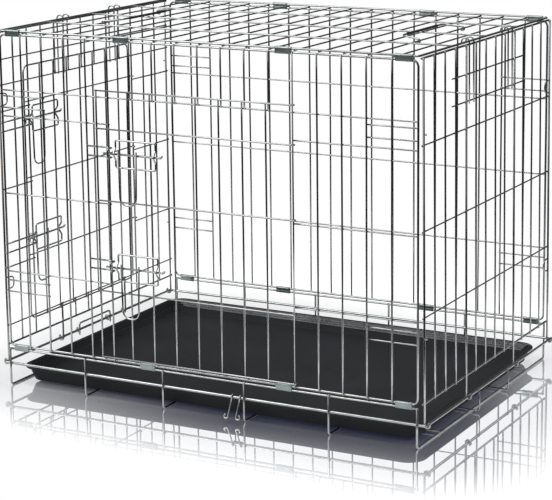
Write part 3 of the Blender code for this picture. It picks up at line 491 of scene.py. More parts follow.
def side_panel(name, at, seed, levels, doorway):
    """One long panel, with uprights and level wires left out where the doorway is."""
    panel = WireWork(seed)
    out = facing_out(at)
    frame_corners = upright_corners(at, 0, -HALF_LENGTH, HALF_LENGTH, SIDE_FOOT, SIDE_TOP)
    panel.wire(bent(frame_corners, FRAME_BEND, 8, True), THICK, True)
    edge = HALF_LENGTH + BUTT
    if doorway:
        spans = [(-edge, edge, DOOR_HEAD)]
        for w in levels:
            spans += [(-edge, along(doorway[0]) + STICK_OUT, w), (along(doorway[1]) - STICK_OUT, edge, w)]
    else:
        spans = [(-edge, edge, w) for w in levels]
    inner = HALF_LENGTH - CORNER_BAYS * BAY - STICK_OUT
    for w in CORNER_LEVELS:
        spans += [(-edge, -inner, w), (inner, edge, w)]
    for start, end, w in spans:
        panel.wire([at(start, LEVEL_OUT, w), at(end, LEVEL_OUT, w)], THIN, bow=BOW)
    for number in range(1, BAYS):
        u = along(number) - (ASIDE if number in HANDLE_WIRES else 0)
        open_here = doorway and doorway[0] < number < doorway[1]
        foot = DOOR_HEAD - STICK_OUT if open_here else SIDE_FOOT - STICK_OUT
        door_turns_here = doorway and number == doorway[1]
        thick, bow = (THIN, 0) if door_turns_here else (UPRIGHT, BOW)
        panel.wire([at(u, UPRIGHT_OUT, foot), at(u, UPRIGHT_OUT, SIDE_TOP + STICK_OUT)], thick, bow=bow)
        for rail, reach in ((SIDE_FOOT, FOOT_SPOT), (SIDE_TOP, HEAD_SPOT)):
            if rail > foot:
                panel.weld(at(u, RAIL_WELD_OUT, rail), out, reach)
        for start, end, w in spans:
            if start < u < end:
                panel.weld(at(u, WELD_OUT, w), out, CROSSING_SPOT)
    return panel.piece(name, mesh_steel, weld_steel)


for side_name, at, seed, levels, doorway in (
        ("front_panel", at_front, 21, FRONT_LEVELS, FRONT_DOORWAY),
        ("back_panel", at_back, 22, BACK_LEVELS, None)):
    made = side_panel(f"{side_name}_wires", at, seed, levels, doorway)
    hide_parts(side_name)
    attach(made, side_name)

# Top panel. A bent frame lies over the long panels' top rails, with cross wires welded under it and three
# lengthwise wires over these. The cross wires stand beside the panels' uprights, so that all folds flat.
TOP_RAIL = SIDE_TOP + RAIL_PAIR
CROSS_UNDER = TOP_RAIL - UPRIGHT_OUT
CROSS_SHIFT = 0.0024
OVER_CROSS = CROSS_UNDER + 2 * THIN - LAP
TOP_BEND = 0.005
lid = WireWork(23)
lid.wire(bent(level_corners(HALF_LENGTH, HALF_DEPTH, TOP_RAIL), TOP_BEND, 6, True), THICK, True)
reach, edge = HALF_DEPTH + BUTT, HALF_LENGTH + BUTT
quarters = [quarter * HALF_DEPTH / 2 for quarter in (-1, 0, 1)]
for number in range(1, BAYS):
    x = along(number) + CROSS_SHIFT + (0 if number in HANDLE_WIRES else ASIDE)
    lid.wire([spot(x, -reach, CROSS_UNDER), spot(x, reach, CROSS_UNDER)], THIN, bow=BOW / 3)
    for y in (-HALF_DEPTH, HALF_DEPTH):
        lid.weld(spot(x, y, TOP_RAIL - RAIL_WELD_OUT), UP, HEAD_SPOT)
    for y in quarters:
        lid.weld(spot(x, y, (CROSS_UNDER + OVER_CROSS) / 2), UP, CROSSING_SPOT)
for y in quarters:
    lid.wire([spot(-edge, y, OVER_CROSS), spot(edge, y, OVER_CROSS)], UPRIGHT, bow=BOW / 3)
top_wires = lid.piece("top_panel_wires", mesh_steel, weld_steel)
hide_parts("top_panel")
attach(top_wires, "top_panel")

# End panels. Two rails, four thick posts that run on down inside the base's ring and curl round it as hinge
# eyes, and thin uprights between them. The left one has a doorway with a sill and a head wire.
END_FACE = HALF_LENGTH + 0.00625
END_HALF = 0.2702
END_BAYS = 13
END_BAY = 2 * END_HALF / END_BAYS
END_TOP = TOP_RAIL - 2 * THICK - 0.0004  # close under the top panel's end rail
POSTS = (0, 4, 9, 13)
POST_OUT = 2 * THICK - LAP
POST_TURN = 0.004  # a post turns in towards the ring this far under the lower rail
LEFT_DOORWAY = (2, 10)  # the uprights at its two sides
LEFT_LEVELS, RIGHT_LEVELS = (0.484, 0.348, 0.209), (0.486, 0.350, 0.212)
HOOK_LOW, HOOK_HIGH = 0.530, 0.574  # the two wires that carry the end hooks
HOOK_WIRE_HALF = 0.155  # on the right they are short
SILL = 0.106
EYE_ROUND = RING_THICK + THICK + GAP
LEAN, LEAN_FROM, LEAN_OVER = 0.0035, 0.10, 0.52
LOOP_LEVELS = (0.504, 0.180)  # a small loop on one corner post and a stub on the other
LOOP_DEEP, LOOP_WIDE, LOOP_NARROW, LOOP_BEND = 0.022, 0.0115, 0.0092, 0.008
STUB_IN, STUB_OUT = 0.0008, 0.0050
RAIL_BOW = 0.0002
POST_RAIL_SPOT, POST_SPOT, LOOP_SPOT = 0.0027, 0.0025, 0.0024
post_steel = plated_steel("zinc_on_posts", (0.46, 0.485, 0.475), (0.33, 0.355, 0.345), 0.17)


def across(number):
    """How far across the crate an upright of an end panel stands."""
    return -END_HALF + END_BAY * number


def at_left(u, v, w):
    return spot(-END_FACE - v, u, w)


def at_right(u, v, w):
    """A place on the right end, which is sprung in a little against the top panel's end rail."""
    lean = LEAN * max(0.0, w - LEAN_FROM) / LEAN_OVER
    return spot(END_FACE + v - lean, u, w)


def hinge_post(at, u, top):
    """The route of a thick post down to the ring and round it."""
    middle = at(u, RING_END - END_FACE, RING_HEIGHT)
    eye = curled(middle, facing_out(at), UP, EYE_ROUND, 180, 425, 20)
    return [at(u, POST_OUT, top), at(u, POST_OUT, SIDE_FOOT - POST_TURN)] + eye


def end_panel(name, at, seed, levels, doorway, loop_side):
    """One end panel, with a doorway between two uprights or with none."""
    panel = WireWork(seed)
    out = facing_out(at)
    edge = END_HALF + BUTT
    for w in (END_TOP, SIDE_FOOT):
        panel.wire([at(-edge, 0, w), at(edge, 0, w)], THICK, bow=RAIL_BOW)
    if doorway:
        door_from, door_to = across(doorway[0]), across(doorway[1])
        spans = [(-edge, edge, w) for w in (HOOK_HIGH, HOOK_LOW, SILL)]
        for w in levels:
            spans += [(-edge, door_from + STICK_OUT, w), (door_to - STICK_OUT, edge, w)]
    else:
        spans = [(-edge, edge, w) for w in levels]
        spans += [(-HOOK_WIRE_HALF, HOOK_WIRE_HALF, w) for w in (HOOK_HIGH, HOOK_LOW)]
    for start, end, w in spans:
        panel.wire([at(start, LEVEL_OUT, w), at(end, LEVEL_OUT, w)], THIN, bow=BOW)
    foot, head = SIDE_FOOT - STICK_OUT, END_TOP + STICK_OUT
    over_door, under_door = HOOK_LOW - STICK_OUT, SILL + STICK_OUT
    for number in range(END_BAYS + 1):
        u = across(number)
        open_here = doorway and doorway[0] < number < doorway[1]
        heavy = number in POSTS
        stretches = [(over_door, head), (foot, under_door)] if open_here else [(foot, head)]
        if heavy and open_here:
            panel.wire([at(u, POST_OUT, over_door), at(u, POST_OUT, head)], THICK, skin=2)
            panel.wire(hinge_post(at, u, under_door), THICK, skin=2)
        elif heavy:
            panel.wire(hinge_post(at, u, head), THICK, skin=2)
        for low, high in stretches:
            if not heavy:
                panel.wire([at(u, UPRIGHT_OUT, low), at(u, UPRIGHT_OUT, high)], UPRIGHT, bow=BOW)
            for rail in (END_TOP, SIDE_FOOT):
                if low < rail < high:
                    panel.weld(at(u, RAIL_WELD_OUT, rail), out, POST_RAIL_SPOT if heavy else FOOT_SPOT)
            for start, end, w in spans:
                if start < u < end and low < w < high:
                    panel.weld(at(u, WELD_OUT, w), out, POST_SPOT if heavy else CROSSING_SPOT)
    for w in LOOP_LEVELS:
        u = loop_side * END_HALF
        deep = u - LOOP_DEEP * loop_side
        panel.wire(bent([at(u, POST_OUT, w + LOOP_WIDE), at(deep, POST_OUT, w + LOOP_NARROW),
                         at(deep, POST_OUT, w - LOOP_NARROW), at(u, POST_OUT, w - LOOP_WIDE)],
                        LOOP_BEND, 7), THIN)
        panel.wire([at(-u, POST_OUT - STUB_IN, w), at(-u, POST_OUT + STUB_OUT, w)], THIN)
        panel.weld(at(u, POST_OUT, w + LOOP_WIDE), out, LOOP_SPOT)
        panel.weld(at(u, POST_OUT, w - LOOP_WIDE), out, LOOP_SPOT)
        panel.weld(at(-u, POST_OUT + 0.0012, w), out, LOOP_SPOT)
    return panel.piece(name, mesh_steel, weld_steel, post_steel)


for side_name, at, seed, levels, doorway, loop_side in (
        ("left_end", at_left, 24, LEFT_LEVELS, LEFT_DOORWAY, -1),
        ("right_end", at_right, 25, RIGHT_LEVELS, None, 1)):
    made = end_panel(f"{side_name}_wires", at, seed, levels, doorway, loop_side)
    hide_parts(f"{side_name}_panel")
    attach(made, side_name)

# Hinge clips. A short strap of bright sheet steel is bent round a pair of rails and closed with a butt seam
# on its inner side. The press leaves a waist between the two rails and slightly bellied ends.
clip_steel = plated_steel("zinc_on_sheet", (0.40, 0.45, 0.445), (0.28, 0.325, 0.32), 0.42, 0.08)
CLIP_LENGTH = 0.029
CLIP_INSIDE = THICK + 0.00035
CLIP_SHEET = 0.0008
CLIP_WAIST, CLIP_SEAM = 0.0006, 0.0003
CLIP_BREAK = 0.00015  # how far the sheet's edges are broken
TOP_CLIPS = (0.62, 5.62, 12.62, 17.45)  # their places along an edge, in bays
BASE_CLIPS = (0.55, 6.5, 12.5, 17.45)


def hinge_clip(name, body, x, y, low):
    """A strap round two rails, the lower one at the given height."""
    high = low + RAIL_PAIR
    inward = -BACK if y > 0 else BACK
    middle = (low + high) / 2

    def profile(radius):
        waist = inward * (radius - CLIP_WAIST)
        bead = [spot(x, y, middle - CLIP_SEAM) + waist]
        bead += curled(spot(x, y, low), inward, -UP, radius, 0, 180, 14)
        bead += [spot(x, y, middle) - waist]
        bead += curled(spot(x, y, high), -inward, UP, radius, 0, 180, 14)
        bead += [spot(x, y, middle + CLIP_SEAM) + waist]
        return bead

    outside, inside = profile(CLIP_INSIDE + CLIP_SHEET), profile(CLIP_INSIDE)
    count = len(outside)
    points, faces, marks = [], [], []
    stations = (-1.0, -0.985, -0.5, 0.0, 0.5, 0.985, 1.0)
    for share in stations:
        tuck = CLIP_BREAK if abs(share) == 1.0 else 0.0
        shift = Vector((share * CLIP_LENGTH / 2, 0, 0))
        for one, two in zip(outside, inside):
            points.append(one + (two - one).normalized() * tuck + shift)
        for one, two in zip(outside, inside):
            points.append(two + (one - two).normalized() * tuck + shift)
    ring = 2 * count
    for s in range(len(stations) - 1):
        a, b = s * ring, (s + 1) * ring
        u, v = stations[s] * CLIP_LENGTH / 2, stations[s + 1] * CLIP_LENGTH / 2
        for k in range(count - 1):
            here, nxt = k / count, (k + 1) / count
            faces.append((a + k, a + k + 1, b + k + 1, b + k))
            faces.append((a + count + k + 1, a + count + k, b + count + k, b + count + k + 1))
            marks += [(u, here), (u, nxt), (v, nxt), (v, here)]
            marks += [(u, nxt), (u, here), (v, here), (v, nxt)]
        for k in (0, count - 1):
            faces.append((a + k, b + k, b + count + k, a + count + k))
            marks += [(u, 0), (v, 0), (v, 0.1), (u, 0.1)]
    for a in (0, (len(stations) - 1) * ring):
        for k in range(count - 1):
            here, nxt = k / count, (k + 1) / count
            faces.append((a + k, a + count + k, a + count + k + 1, a + k + 1))
            marks += [(0, here), (0.001, here), (0.001, nxt), (0, nxt)]
    made = shaped(name, points, faces, [clip_steel], 40)
    mark_length(made, marks)
    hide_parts(name.replace("_strap", "_clip"))
    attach(made, body)


for edge_name, body, y, low, bays in (
        ("front_top", "top_panel", -HALF_DEPTH, SIDE_TOP, TOP_CLIPS),
        ("back_top", "top_panel", HALF_DEPTH, SIDE_TOP, TOP_CLIPS),
        ("front_base", "base", -HALF_DEPTH, BASE_RAIL, BASE_CLIPS),
        ("back_base", "base", HALF_DEPTH, BASE_RAIL, TOP_CLIPS)):
    for number, bay in enumerate(bays, 1):
        hinge_clip(f"{edge_name}_strap_{number}", body, along(bay), y, low)

# Front door. Thin uprights stand in front of the panel's own, and five level wires lie over them. The level
# wires curl round the panel's upright at the right, which is all the hinge there is.
DOOR_UPRIGHT_OUT = UPRIGHT_OUT + THIN
DOOR_LEVEL_OUT = UPRIGHT_OUT + 2 * THIN + GAP
DOOR_WELD_OUT = (DOOR_UPRIGHT_OUT + DOOR_LEVEL_OUT) / 2
DOOR_BESIDE = 0.0045  # the door's uprights stand this far beside the panel's
DOOR_OVERLAP = 0.0223  # the closing edge reaches this far past the doorway
FRONT_DOOR_LEVELS = (DOOR_HEAD + 0.012, 0.472, 0.350, 0.194, SIDE_FOOT + 0.0062)
door_steel = plated_steel("zinc_on_doors", (0.48, 0.495, 0.495), (0.36, 0.375, 0.37), 0.16)


def door_hinge(at, u, w, start):
    """A level wire that ends in a curl round the upright it turns on."""
    curl = curled(at(u, UPRIGHT_OUT, w), facing_out(at), at(1, 0, 0) - at(0, 0, 0),
                  DOOR_LEVEL_OUT - UPRIGHT_OUT, 0, 285, 22)
    return [at(start, DOOR_LEVEL_OUT, w)] + curl


door = WireWork(31)
front_edge, door_axis = along(FRONT_DOORWAY[0]), along(FRONT_DOORWAY[1])
door_start = front_edge - DOOR_OVERLAP
over_doorway = range(FRONT_DOORWAY[0] + 1, FRONT_DOORWAY[1])
for u in [door_start] + [along(number) - DOOR_BESIDE for number in over_doorway]:
    door.wire([at_front(u, DOOR_UPRIGHT_OUT, FRONT_DOOR_LEVELS[-1] - STICK_OUT),
               at_front(u, DOOR_UPRIGHT_OUT, FRONT_DOOR_LEVELS[0] + STICK_OUT)], UPRIGHT, bow=BOW)
    for w in FRONT_DOOR_LEVELS:
        door.weld(at_front(u, DOOR_WELD_OUT, w), BACK, CROSSING_SPOT)
for w in FRONT_DOOR_LEVELS:
    door.wire(door_hinge(at_front, door_axis, w, door_start - STICK_OUT), THIN)
front_door_wires = door.piece("front_door_wires", door_steel, weld_steel)
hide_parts("front_door")
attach(front_door_wires, "front_door")

# Left door. A frame with rounded corners stands outside the level wires, and the uprights pass behind them.
# Three of the level wires reach past the frame and curl round the end panel's upright as its hinges.
LEFT_FRAME_WIRE = 0.0015
LEFT_FRAME_OUT = LEVEL_OUT + 3 * THIN + LEFT_FRAME_WIRE + 0.0006
LEFT_FRAME_BEND = 0.012
LEFT_DOOR_RAISE = 0.006  # its level wires lie this far above the panel's
FRAME_SPOT = 0.0021
door = WireWork(32)
left_edge, door_axis = across(LEFT_DOORWAY[0]), across(LEFT_DOORWAY[1])
door_start = left_edge - 0.008
door_end = door_axis - 0.0065
door_levels = [w + LEFT_DOOR_RAISE for w in LEFT_LEVELS]
door_foot, door_head = SILL - 0.0075, HOOK_LOW + 0.023
frame_corners = upright_corners(at_left, LEFT_FRAME_OUT, door_start, door_end, door_foot, door_head)
door.wire(bent(frame_corners, LEFT_FRAME_BEND, 8, True), LEFT_FRAME_WIRE, True)
for number in range(LEFT_DOORWAY[0] + 1, LEFT_DOORWAY[1]):
    u = across(number) - DOOR_BESIDE
    door.wire([at_left(u, DOOR_UPRIGHT_OUT, door_foot - STICK_OUT),
               at_left(u, DOOR_UPRIGHT_OUT, door_head + STICK_OUT)], UPRIGHT, bow=BOW)
    for w in (door_foot, door_head):
        door.weld(at_left(u, DOOR_UPRIGHT_OUT + 0.0012, w), ALONG, FRAME_SPOT)
    for w in door_levels:
        door.weld(at_left(u, DOOR_WELD_OUT, w), ALONG, CROSSING_SPOT)
for w in door_levels:
    door.wire(door_hinge(at_left, door_axis, w, door_start), THIN)
    for u in (door_start, door_end):
        door.weld(at_left(u, (DOOR_LEVEL_OUT + LEFT_FRAME_OUT) / 2, w), ALONG, FRAME_SPOT)
left_door_wires = door.piece("left_door_wires", door_steel, weld_steel)
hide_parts("left_door")
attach(left_door_wires, "left_door")

# Slide-bolt latches, two on each door. A bent loop on the door guides a thick bolt, which has a hanging pull
# of thin wire welded to it, and the bolt slides into a loop that stands out from the panel.
GUIDE_OUT = DOOR_UPRIGHT_OUT + 2 * THIN + GAP
BOLT_OUT = GUIDE_OUT + 0.0030
LOOP_OUT = BOLT_OUT + THICK + THIN + 0.0005
GUIDE_TOP = BOLT_OUT + THICK + THIN + 0.0016
PULL_OUT = BOLT_OUT + THICK + THIN - LAP
KEEPER_OUT = UPRIGHT_OUT - 2 * THIN - GAP
LATCH_WIRE = 0.0015
GUIDE_FROM, GUIDE_TO = 0.0159, 0.0934  # places along a latch are measured from the doorway's edge
GUIDE_HALF, GUIDE_BULGE = 0.023, 0.0105
BOLT_FROM, BOLT_LENGTH = -0.0066, 0.112
BOLT_TAIL = ((-0.001, 0.0), (0.001, 0.0011), (0.003, 0.004))  # its end is turned up
PULL_FROM, PULL_TO = 0.0244, 0.0594
PULL_TOP, PULL_DEEP, PULL_TAPER = 0.007, 0.085, 0.002
KEEPER_LOOP, KEEPER_HALF = 0.0044, 0.008
GUIDE_BEND, PULL_BEND, KEEPER_BEND = 0.0033, 0.013, 0.0028
PULL_SPOT = 0.0024
latch_steel = plated_steel("zinc_on_latches", (0.56, 0.57, 0.575), (0.42, 0.43, 0.43), 0.13)


def latch(name, at, edge, w, keeper_from, door_body, panel_body, seed):
    """A guide on the door, the bolt with its pull in it, and the keeper on the panel."""
    start, end = edge + GUIDE_FROM, edge + GUIDE_TO
    guide = WireWork(seed)
    corners = [at(start, GUIDE_OUT, w - GUIDE_HALF), at(start, GUIDE_OUT, w - GUIDE_BULGE),
               at(start, GUIDE_TOP, w), at(start, GUIDE_OUT, w + GUIDE_BULGE),
               at(start, GUIDE_OUT, w + GUIDE_HALF), at(end, GUIDE_OUT, w + GUIDE_HALF),
               at(end, GUIDE_OUT, w + GUIDE_BULGE), at(end, GUIDE_TOP, w),
               at(end, GUIDE_OUT, w - GUIDE_BULGE), at(end, GUIDE_OUT, w - GUIDE_HALF)]
    guide.wire(bent(corners, GUIDE_BEND, 5, True), LATCH_WIRE, True)
    made = guide.piece(f"{name}_guide_loop", latch_steel)
    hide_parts(f"{name}_latch_guide")
    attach(made, door_body)

    bolt = WireWork(seed + 1)
    head = edge + BOLT_FROM
    tail = head + BOLT_LENGTH
    tip = [at(tail + u, BOLT_OUT, w + up) for u, up in BOLT_TAIL]
    bolt.wire([at(head, BOLT_OUT, w)] + tip, THICK, sides=14)
    start, end = edge + PULL_FROM, edge + PULL_TO
    top, bottom = w + PULL_TOP, w - PULL_DEEP
    bolt.wire(bent([at(start, PULL_OUT, top), at(start + PULL_TAPER, PULL_OUT, bottom),
                    at(end - PULL_TAPER, PULL_OUT, bottom), at(end, PULL_OUT, top)],
                   PULL_BEND, 12), LATCH_WIRE)
    for u in (start, end):
        bolt.weld(at(u, BOLT_OUT + THICK - 0.0002, w), facing_out(at), PULL_SPOT)
    made = bolt.piece(f"{name}_bolt_and_pull", latch_steel, weld_steel)
    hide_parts(f"{name}_latch_bolt")
    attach(made, f"{name}_bolt")

    keeper = WireWork(seed + 2)
    u = edge + KEEPER_LOOP
    top, bottom = w + KEEPER_HALF, w - KEEPER_HALF
    corners = [at(keeper_from, KEEPER_OUT, top), at(u, KEEPER_OUT, top), at(u, LOOP_OUT, top),
               at(u, LOOP_OUT, bottom), at(u, KEEPER_OUT, bottom), at(keeper_from, KEEPER_OUT, bottom)]
    keeper.wire(bent(corners, KEEPER_BEND, 5), LATCH_WIRE)
    made = keeper.piece(f"{name}_keeper_loop", latch_steel)
    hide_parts(f"{name}_latch_keeper")
    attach(made, panel_body)


front_keeper, left_keeper = front_edge - BAY - 0.002, -END_HALF - 0.002
latch("front_upper", at_front, front_edge, 0.432, front_keeper, "front_door", "front_panel", 41)
latch("front_lower", at_front, front_edge, 0.238, front_keeper, "front_door", "front_panel", 44)
latch("left_upper", at_left, left_edge, 0.457, left_keeper, "left_door", "left_end", 47)
latch("left_lower", at_left, left_edge, 0.243, left_keeper, "left_door", "left_end", 50)

# End hooks. A hairpin of thin wire is welded outside the upper wires of each end panel. Its closed end curls
# over the top panel's end rail, and it is lifted off by hand before the crate is folded.
HOOK_OUT = LEVEL_OUT + 2 * THIN + GAP
HOOK_IN = HALF_LENGTH - THICK - THIN - 0.0008 - END_FACE
HOOK_HALF = 0.009
HOOK_SINK, HOOK_TAIL, HOOK_BEND = 0.0003, 0.004, 0.0011


def end_hook(name, at, u, body, seed):
    """Two wires up the panel's outside and over the rail, joined at their inner ends."""
    hook = WireWork(seed)
    middle = (HOOK_OUT + HOOK_IN) / 2
    out = facing_out(at)
    halves = []
    for side in (-HOOK_HALF, HOOK_HALF):
        over = curled(at(u + side, middle, TOP_RAIL - HOOK_SINK), out, UP, HOOK_OUT - middle, 0, 180, 12)
        halves.append([at(u + side, HOOK_OUT, HOOK_LOW - HOOK_TAIL)] + over)
    tip = [at(u + side, HOOK_IN, TOP_RAIL - THICK) for side in (-HOOK_HALF, HOOK_HALF)]
    closed_end = bent([halves[0][-1], *tip, halves[1][-1]], HOOK_BEND, 3)[1:-1]
    hook.wire(halves[0] + closed_end + halves[1][::-1], THIN)
    made = hook.piece(name, door_steel)
    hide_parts(name.replace("_hairpin", ""))
    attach(made, body)


for side_name, at, body in (("left", at_left, "left_end"), ("right", at_right, "right_end")):
    end_hook(f"{side_name}_end_hook_front_hairpin", at, -2 * END_BAY, body, 53)
    end_hook(f"{side_name}_end_hook_back_hairpin", at, 2 * END_BAY, body, 54)

# Carrying handles. A wire bail has an eye at each end round a cross wire of the top and lies folded over.
# A black plastic sleeve with flared ends and a lengthwise seam is pushed on its straight part.
grip_black = moulded_plastic("black_grip_plastic", (0.014, 0.014, 0.015), (0.024, 0.024, 0.025),
                            0.42, 900, 0.15, 0.4, 0.2)
BAIL_WIRE = 0.0016
BAIL_ROUND = THIN + BAIL_WIRE + GAP
BAIL_HALF, BAIL_REACH = 0.091, 0.034
BAIL_SPLAY, BAIL_BEND = 0.010, 0.012
BAIL_TILT = asin((3 * THIN + 0.0027 - BAIL_ROUND) / BAIL_REACH)  # the grip rests on the middle wire
GRIP_BORE = BAIL_WIRE + GAP
GRIP_ROUND, GRIP_WAIST = 0.0024, 0.00015
GRIP_HALF = 0.0600
GRIP_EDGE, GRIP_COLLAR, GRIP_FLARE = 0.0004, 0.0022, 0.0040  # from the sleeve's end
GRIP_SEAM, GRIP_SIDES = 0.00012, 24


def carrying_handle(name, side, seed):
    """A bail on its cross wire, and the sleeve on the bail."""
    axis = spot(side * (HALF_LENGTH - HANDLE_WIRES[0] * BAY) + CROSS_SHIFT, 0, CROSS_UNDER)

    def at(s, y, n):
        """A place on the folded handle: out from its cross wire, along it, and up from its own plane."""
        return axis + Vector((-side * (s * cos(BAIL_TILT) - n * sin(BAIL_TILT)), y,
                              s * sin(BAIL_TILT) + n * cos(BAIL_TILT)))

    out, up = at(1, 0, 0) - axis, at(0, 0, 1) - axis
    near = curled(at(0, -BAIL_HALF, 0), out, up, BAIL_ROUND, 325, 90, 18)
    far = curled(at(0, BAIL_HALF, 0), out, up, BAIL_ROUND, 325, 90, 18)
    corners = [near[-1], at(BAIL_REACH, -BAIL_HALF + BAIL_SPLAY, BAIL_ROUND),
               at(BAIL_REACH, BAIL_HALF - BAIL_SPLAY, BAIL_ROUND), far[-1]]
    bail = WireWork(seed)
    bail.wire(near[:-1] + bent(corners, BAIL_BEND, 8) + far[:-1][::-1], BAIL_WIRE)
    made = bail.piece(f"{name}_bail_wire", bright_steel)
    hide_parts(f"{name}_handle_bail")
    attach(made, f"{name}_handle")

    thin, thick = GRIP_ROUND - GRIP_WAIST, GRIP_ROUND
    end = [(GRIP_BORE, GRIP_HALF), (thick - GRIP_EDGE, GRIP_HALF), (thick, GRIP_HALF - GRIP_EDGE),
           (thick, GRIP_HALF - GRIP_COLLAR), (thin, GRIP_HALF - GRIP_FLARE)]
    waist = GRIP_HALF - GRIP_FLARE
    outline = [(distance, -y) for distance, y in end]
    for k in range(1, 10):
        hollow, ripple = 0.0001 * sin(pi * k / 10), (0.00006 if k % 2 else 0)
        outline.append((thin - hollow + ripple, -waist + 2 * waist * k / 10))
    outline += end[::-1]
    points, faces = [], []
    for distance, y in outline:
        for k in range(GRIP_SIDES):
            t = 2 * pi * k / GRIP_SIDES
            reach = distance - (GRIP_SEAM if k == 0 and distance > GRIP_BORE else 0.0)
            points.append(at(BAIL_REACH + reach * cos(t), y, BAIL_ROUND + reach * sin(t)))
    count = len(outline)
    for i in range(count):
        a, b = i * GRIP_SIDES, (i + 1) % count * GRIP_SIDES
        for k in range(GRIP_SIDES):
            nxt = (k + 1) % GRIP_SIDES
            faces.append((a + k, a + nxt, b + nxt, b + k))
    made = shaped(f"{name}_grip_sleeve", points, faces, [grip_black], 60)
    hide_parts(f"{name}_handle_grip")
    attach(made, f"{name}_handle")


carrying_handle("left", -1, 55)
carrying_handle("right", 1, 56)

# Base hook. A hairpin of thin wire hangs on the ring in front, with its two ends curled, and locks the
# folded crate shut. It is bent from one wire and only hooked over the ring.
LOCK_ROUND = RING_THICK + THIN + GAP
LOCK_RIGHT = HALF_LENGTH / (LEGS - 1) - 0.008  # just left of the fourth leg
LOCK_GAP = 0.015
LOCK_REACH, LOCK_DROP = 0.017, 0.0285  # from the ring to the start of a curled tip
LOCK_TIP = 0.0036
LOCK_SLANT = radians(23.6)
hook = WireWork(57)
hanging = Vector((0, -sin(LOCK_SLANT), -cos(LOCK_SLANT)))
halves = []
for x, turn in ((LOCK_RIGHT - LOCK_GAP, -1), (LOCK_RIGHT, 1)):
    over = curled(spot(x, -RING_FACE, RING_HEIGHT), -BACK, UP, LOCK_ROUND, -25, 215, 16)
    sideways = Vector((turn, 0, 0))
    low = spot(x, -RING_FACE - LOCK_REACH, RING_HEIGHT - LOCK_DROP)
    tip = curled(low + sideways * LOCK_TIP, -sideways, hanging, LOCK_TIP, 0, 250, 12)
    halves.append(tip[::-1] + over)
hook.wire(halves[0] + halves[1][::-1], THIN)
base_hook_wire = hook.piece("base_hook_wire", bright_steel)
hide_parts("base_hook")
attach(base_hook_wire, "base_hook")

# Floor. A pale sheet of smooth board, glossy beside the crate and matt farther out, so that the base and the
# tray are mirrored in it for a hand's width and the rest stays plain.
floor_left, floor_right = -5, 5
floor_front, floor_back = -1.9, 6  # the front edge lies below the picture
floor_mesh = bpy.data.meshes.new("studio_floor")
floor_mesh.from_pydata([(floor_left, floor_front, 0), (floor_right, floor_front, 0),
                        (floor_right, floor_back, 0), (floor_left, floor_back, 0)], [], [(0, 1, 2, 3)])
floor = bpy.data.objects.new("studio_floor", floor_mesh)
bpy.context.collection.objects.link(floor)


class StudioShading(Shading):
    """Shading for the floor and the room, blended from a few plain lights and finishes."""

    def __init__(self, owner):
        super().__init__(owner)
        self.nodes.clear()
        self.rays = self.add("LightPath", {}).outputs

    def maths(self, operation, *values):
        return self.add("Math", dict(enumerate(values)), operation=operation).outputs[0]

    def times(self, *values):
        return self.maths("MULTIPLY", *values)

    def larger(self, *values):
        return self.maths("MAXIMUM", *values)

    def past(self, place, middle, half):
        """How far a place lies beyond half a width from the middle, or nothing within it."""
        beside = self.maths("ABSOLUTE", self.maths("SUBTRACT", place, middle))
        return self.larger(self.maths("SUBTRACT", beside, half), 0.0)

    def soft(self, value, start, end, low, high):
        """As slope, with a soft start and end."""
        return self.slope(value, start, end, low, high, interpolation_type="SMOOTHSTEP")

    def share(self, factor, one, two):
        return self.add("Mix", {"Factor": factor, "A": one, "B": two}, data_type="FLOAT").outputs["Result"]

    def blend(self, share, one, two):
        return self.add("MixShader", {"Fac": share, 1: one, 2: two}).outputs[0]

    def both(self, one, two):
        return self.add("AddShader", {0: one, 1: two}).outputs[0]

    def glow(self, colour, strength):
        return self.add("Emission", {"Color": (*colour, 1), "Strength": strength}).outputs[0]


WHITE = (1, 1, 1)
board = bpy.data.materials.new("pale_board")
floor_mesh.materials.append(board)
shading = StudioShading(board)
camera_ray, glossy_ray = shading.rays["Is Camera Ray"], shading.rays["Is Glossy Ray"]
place = shading.add("TexCoord", {}).outputs["Object"]
axes = shading.add("SeparateXYZ", {"Vector": place}).outputs
past_x = shading.past(axes["X"], MIDDLE.x, RING_END)
past_y = shading.past(axes["Y"], MIDDLE.y, LEG_FACE)
squares = shading.maths("ADD", shading.times(past_x, past_x), shading.times(past_y, past_y))
away = shading.maths("SQRT", squares)
seen = shading.larger(shading.larger(camera_ray, glossy_ray), shading.rays["Is Transmission Ray"])

# The matt board, painted darker near the crate and given less glow there as a painted shade round the crate,
# and a little whiter farther out
shaded_paint = shading.soft(away, 0.0, 0.40, 0.70, 0.90)
shaded_paint = shading.add("CombineColor", {"Red": shaded_paint, "Green": shaded_paint, "Blue": shaded_paint}).outputs["Color"]
near_shade_glow = shading.times(seen, shading.soft(away, 0.0, 0.35, 0.06, 0.30))
pale = shading.both(shading.add("BsdfDiffuse", {"Color": shaded_paint}).outputs[0], shading.glow(WHITE, near_shade_glow))

# The varnish, which mirrors most beside the crate and when it is looked at along the floor, with a faint
# violet glow added as a painted tint of the reflection
varnish = shading.add("BsdfGlossy", {"Color": (0.90, 0.905, 0.91, 1), "Roughness": 0.0}).outputs[0]
# The faint violet glow is a painted tint that shows in the reflection of the dark tray.
mirror_and_violet_glow = shading.both(varnish, shading.glow((0.006, 0.009, 0.029), 1.0))
facing = shading.add("LayerWeight", {"Blend": 0.5}).outputs["Facing"]
shine = shading.times(shading.soft(away, 0.0, 0.30, 0.89, 0.0), shading.soft(facing, 0.30, 0.66, 0.0, 1.0))
shine = shading.times(shine, shading.soft(axes["X"], -0.50, 0.10, 0.58, 1.0))
shine = shading.times(shine, shading.soft(axes["Y"], -0.15, 0.35, 1.0, 0.60))

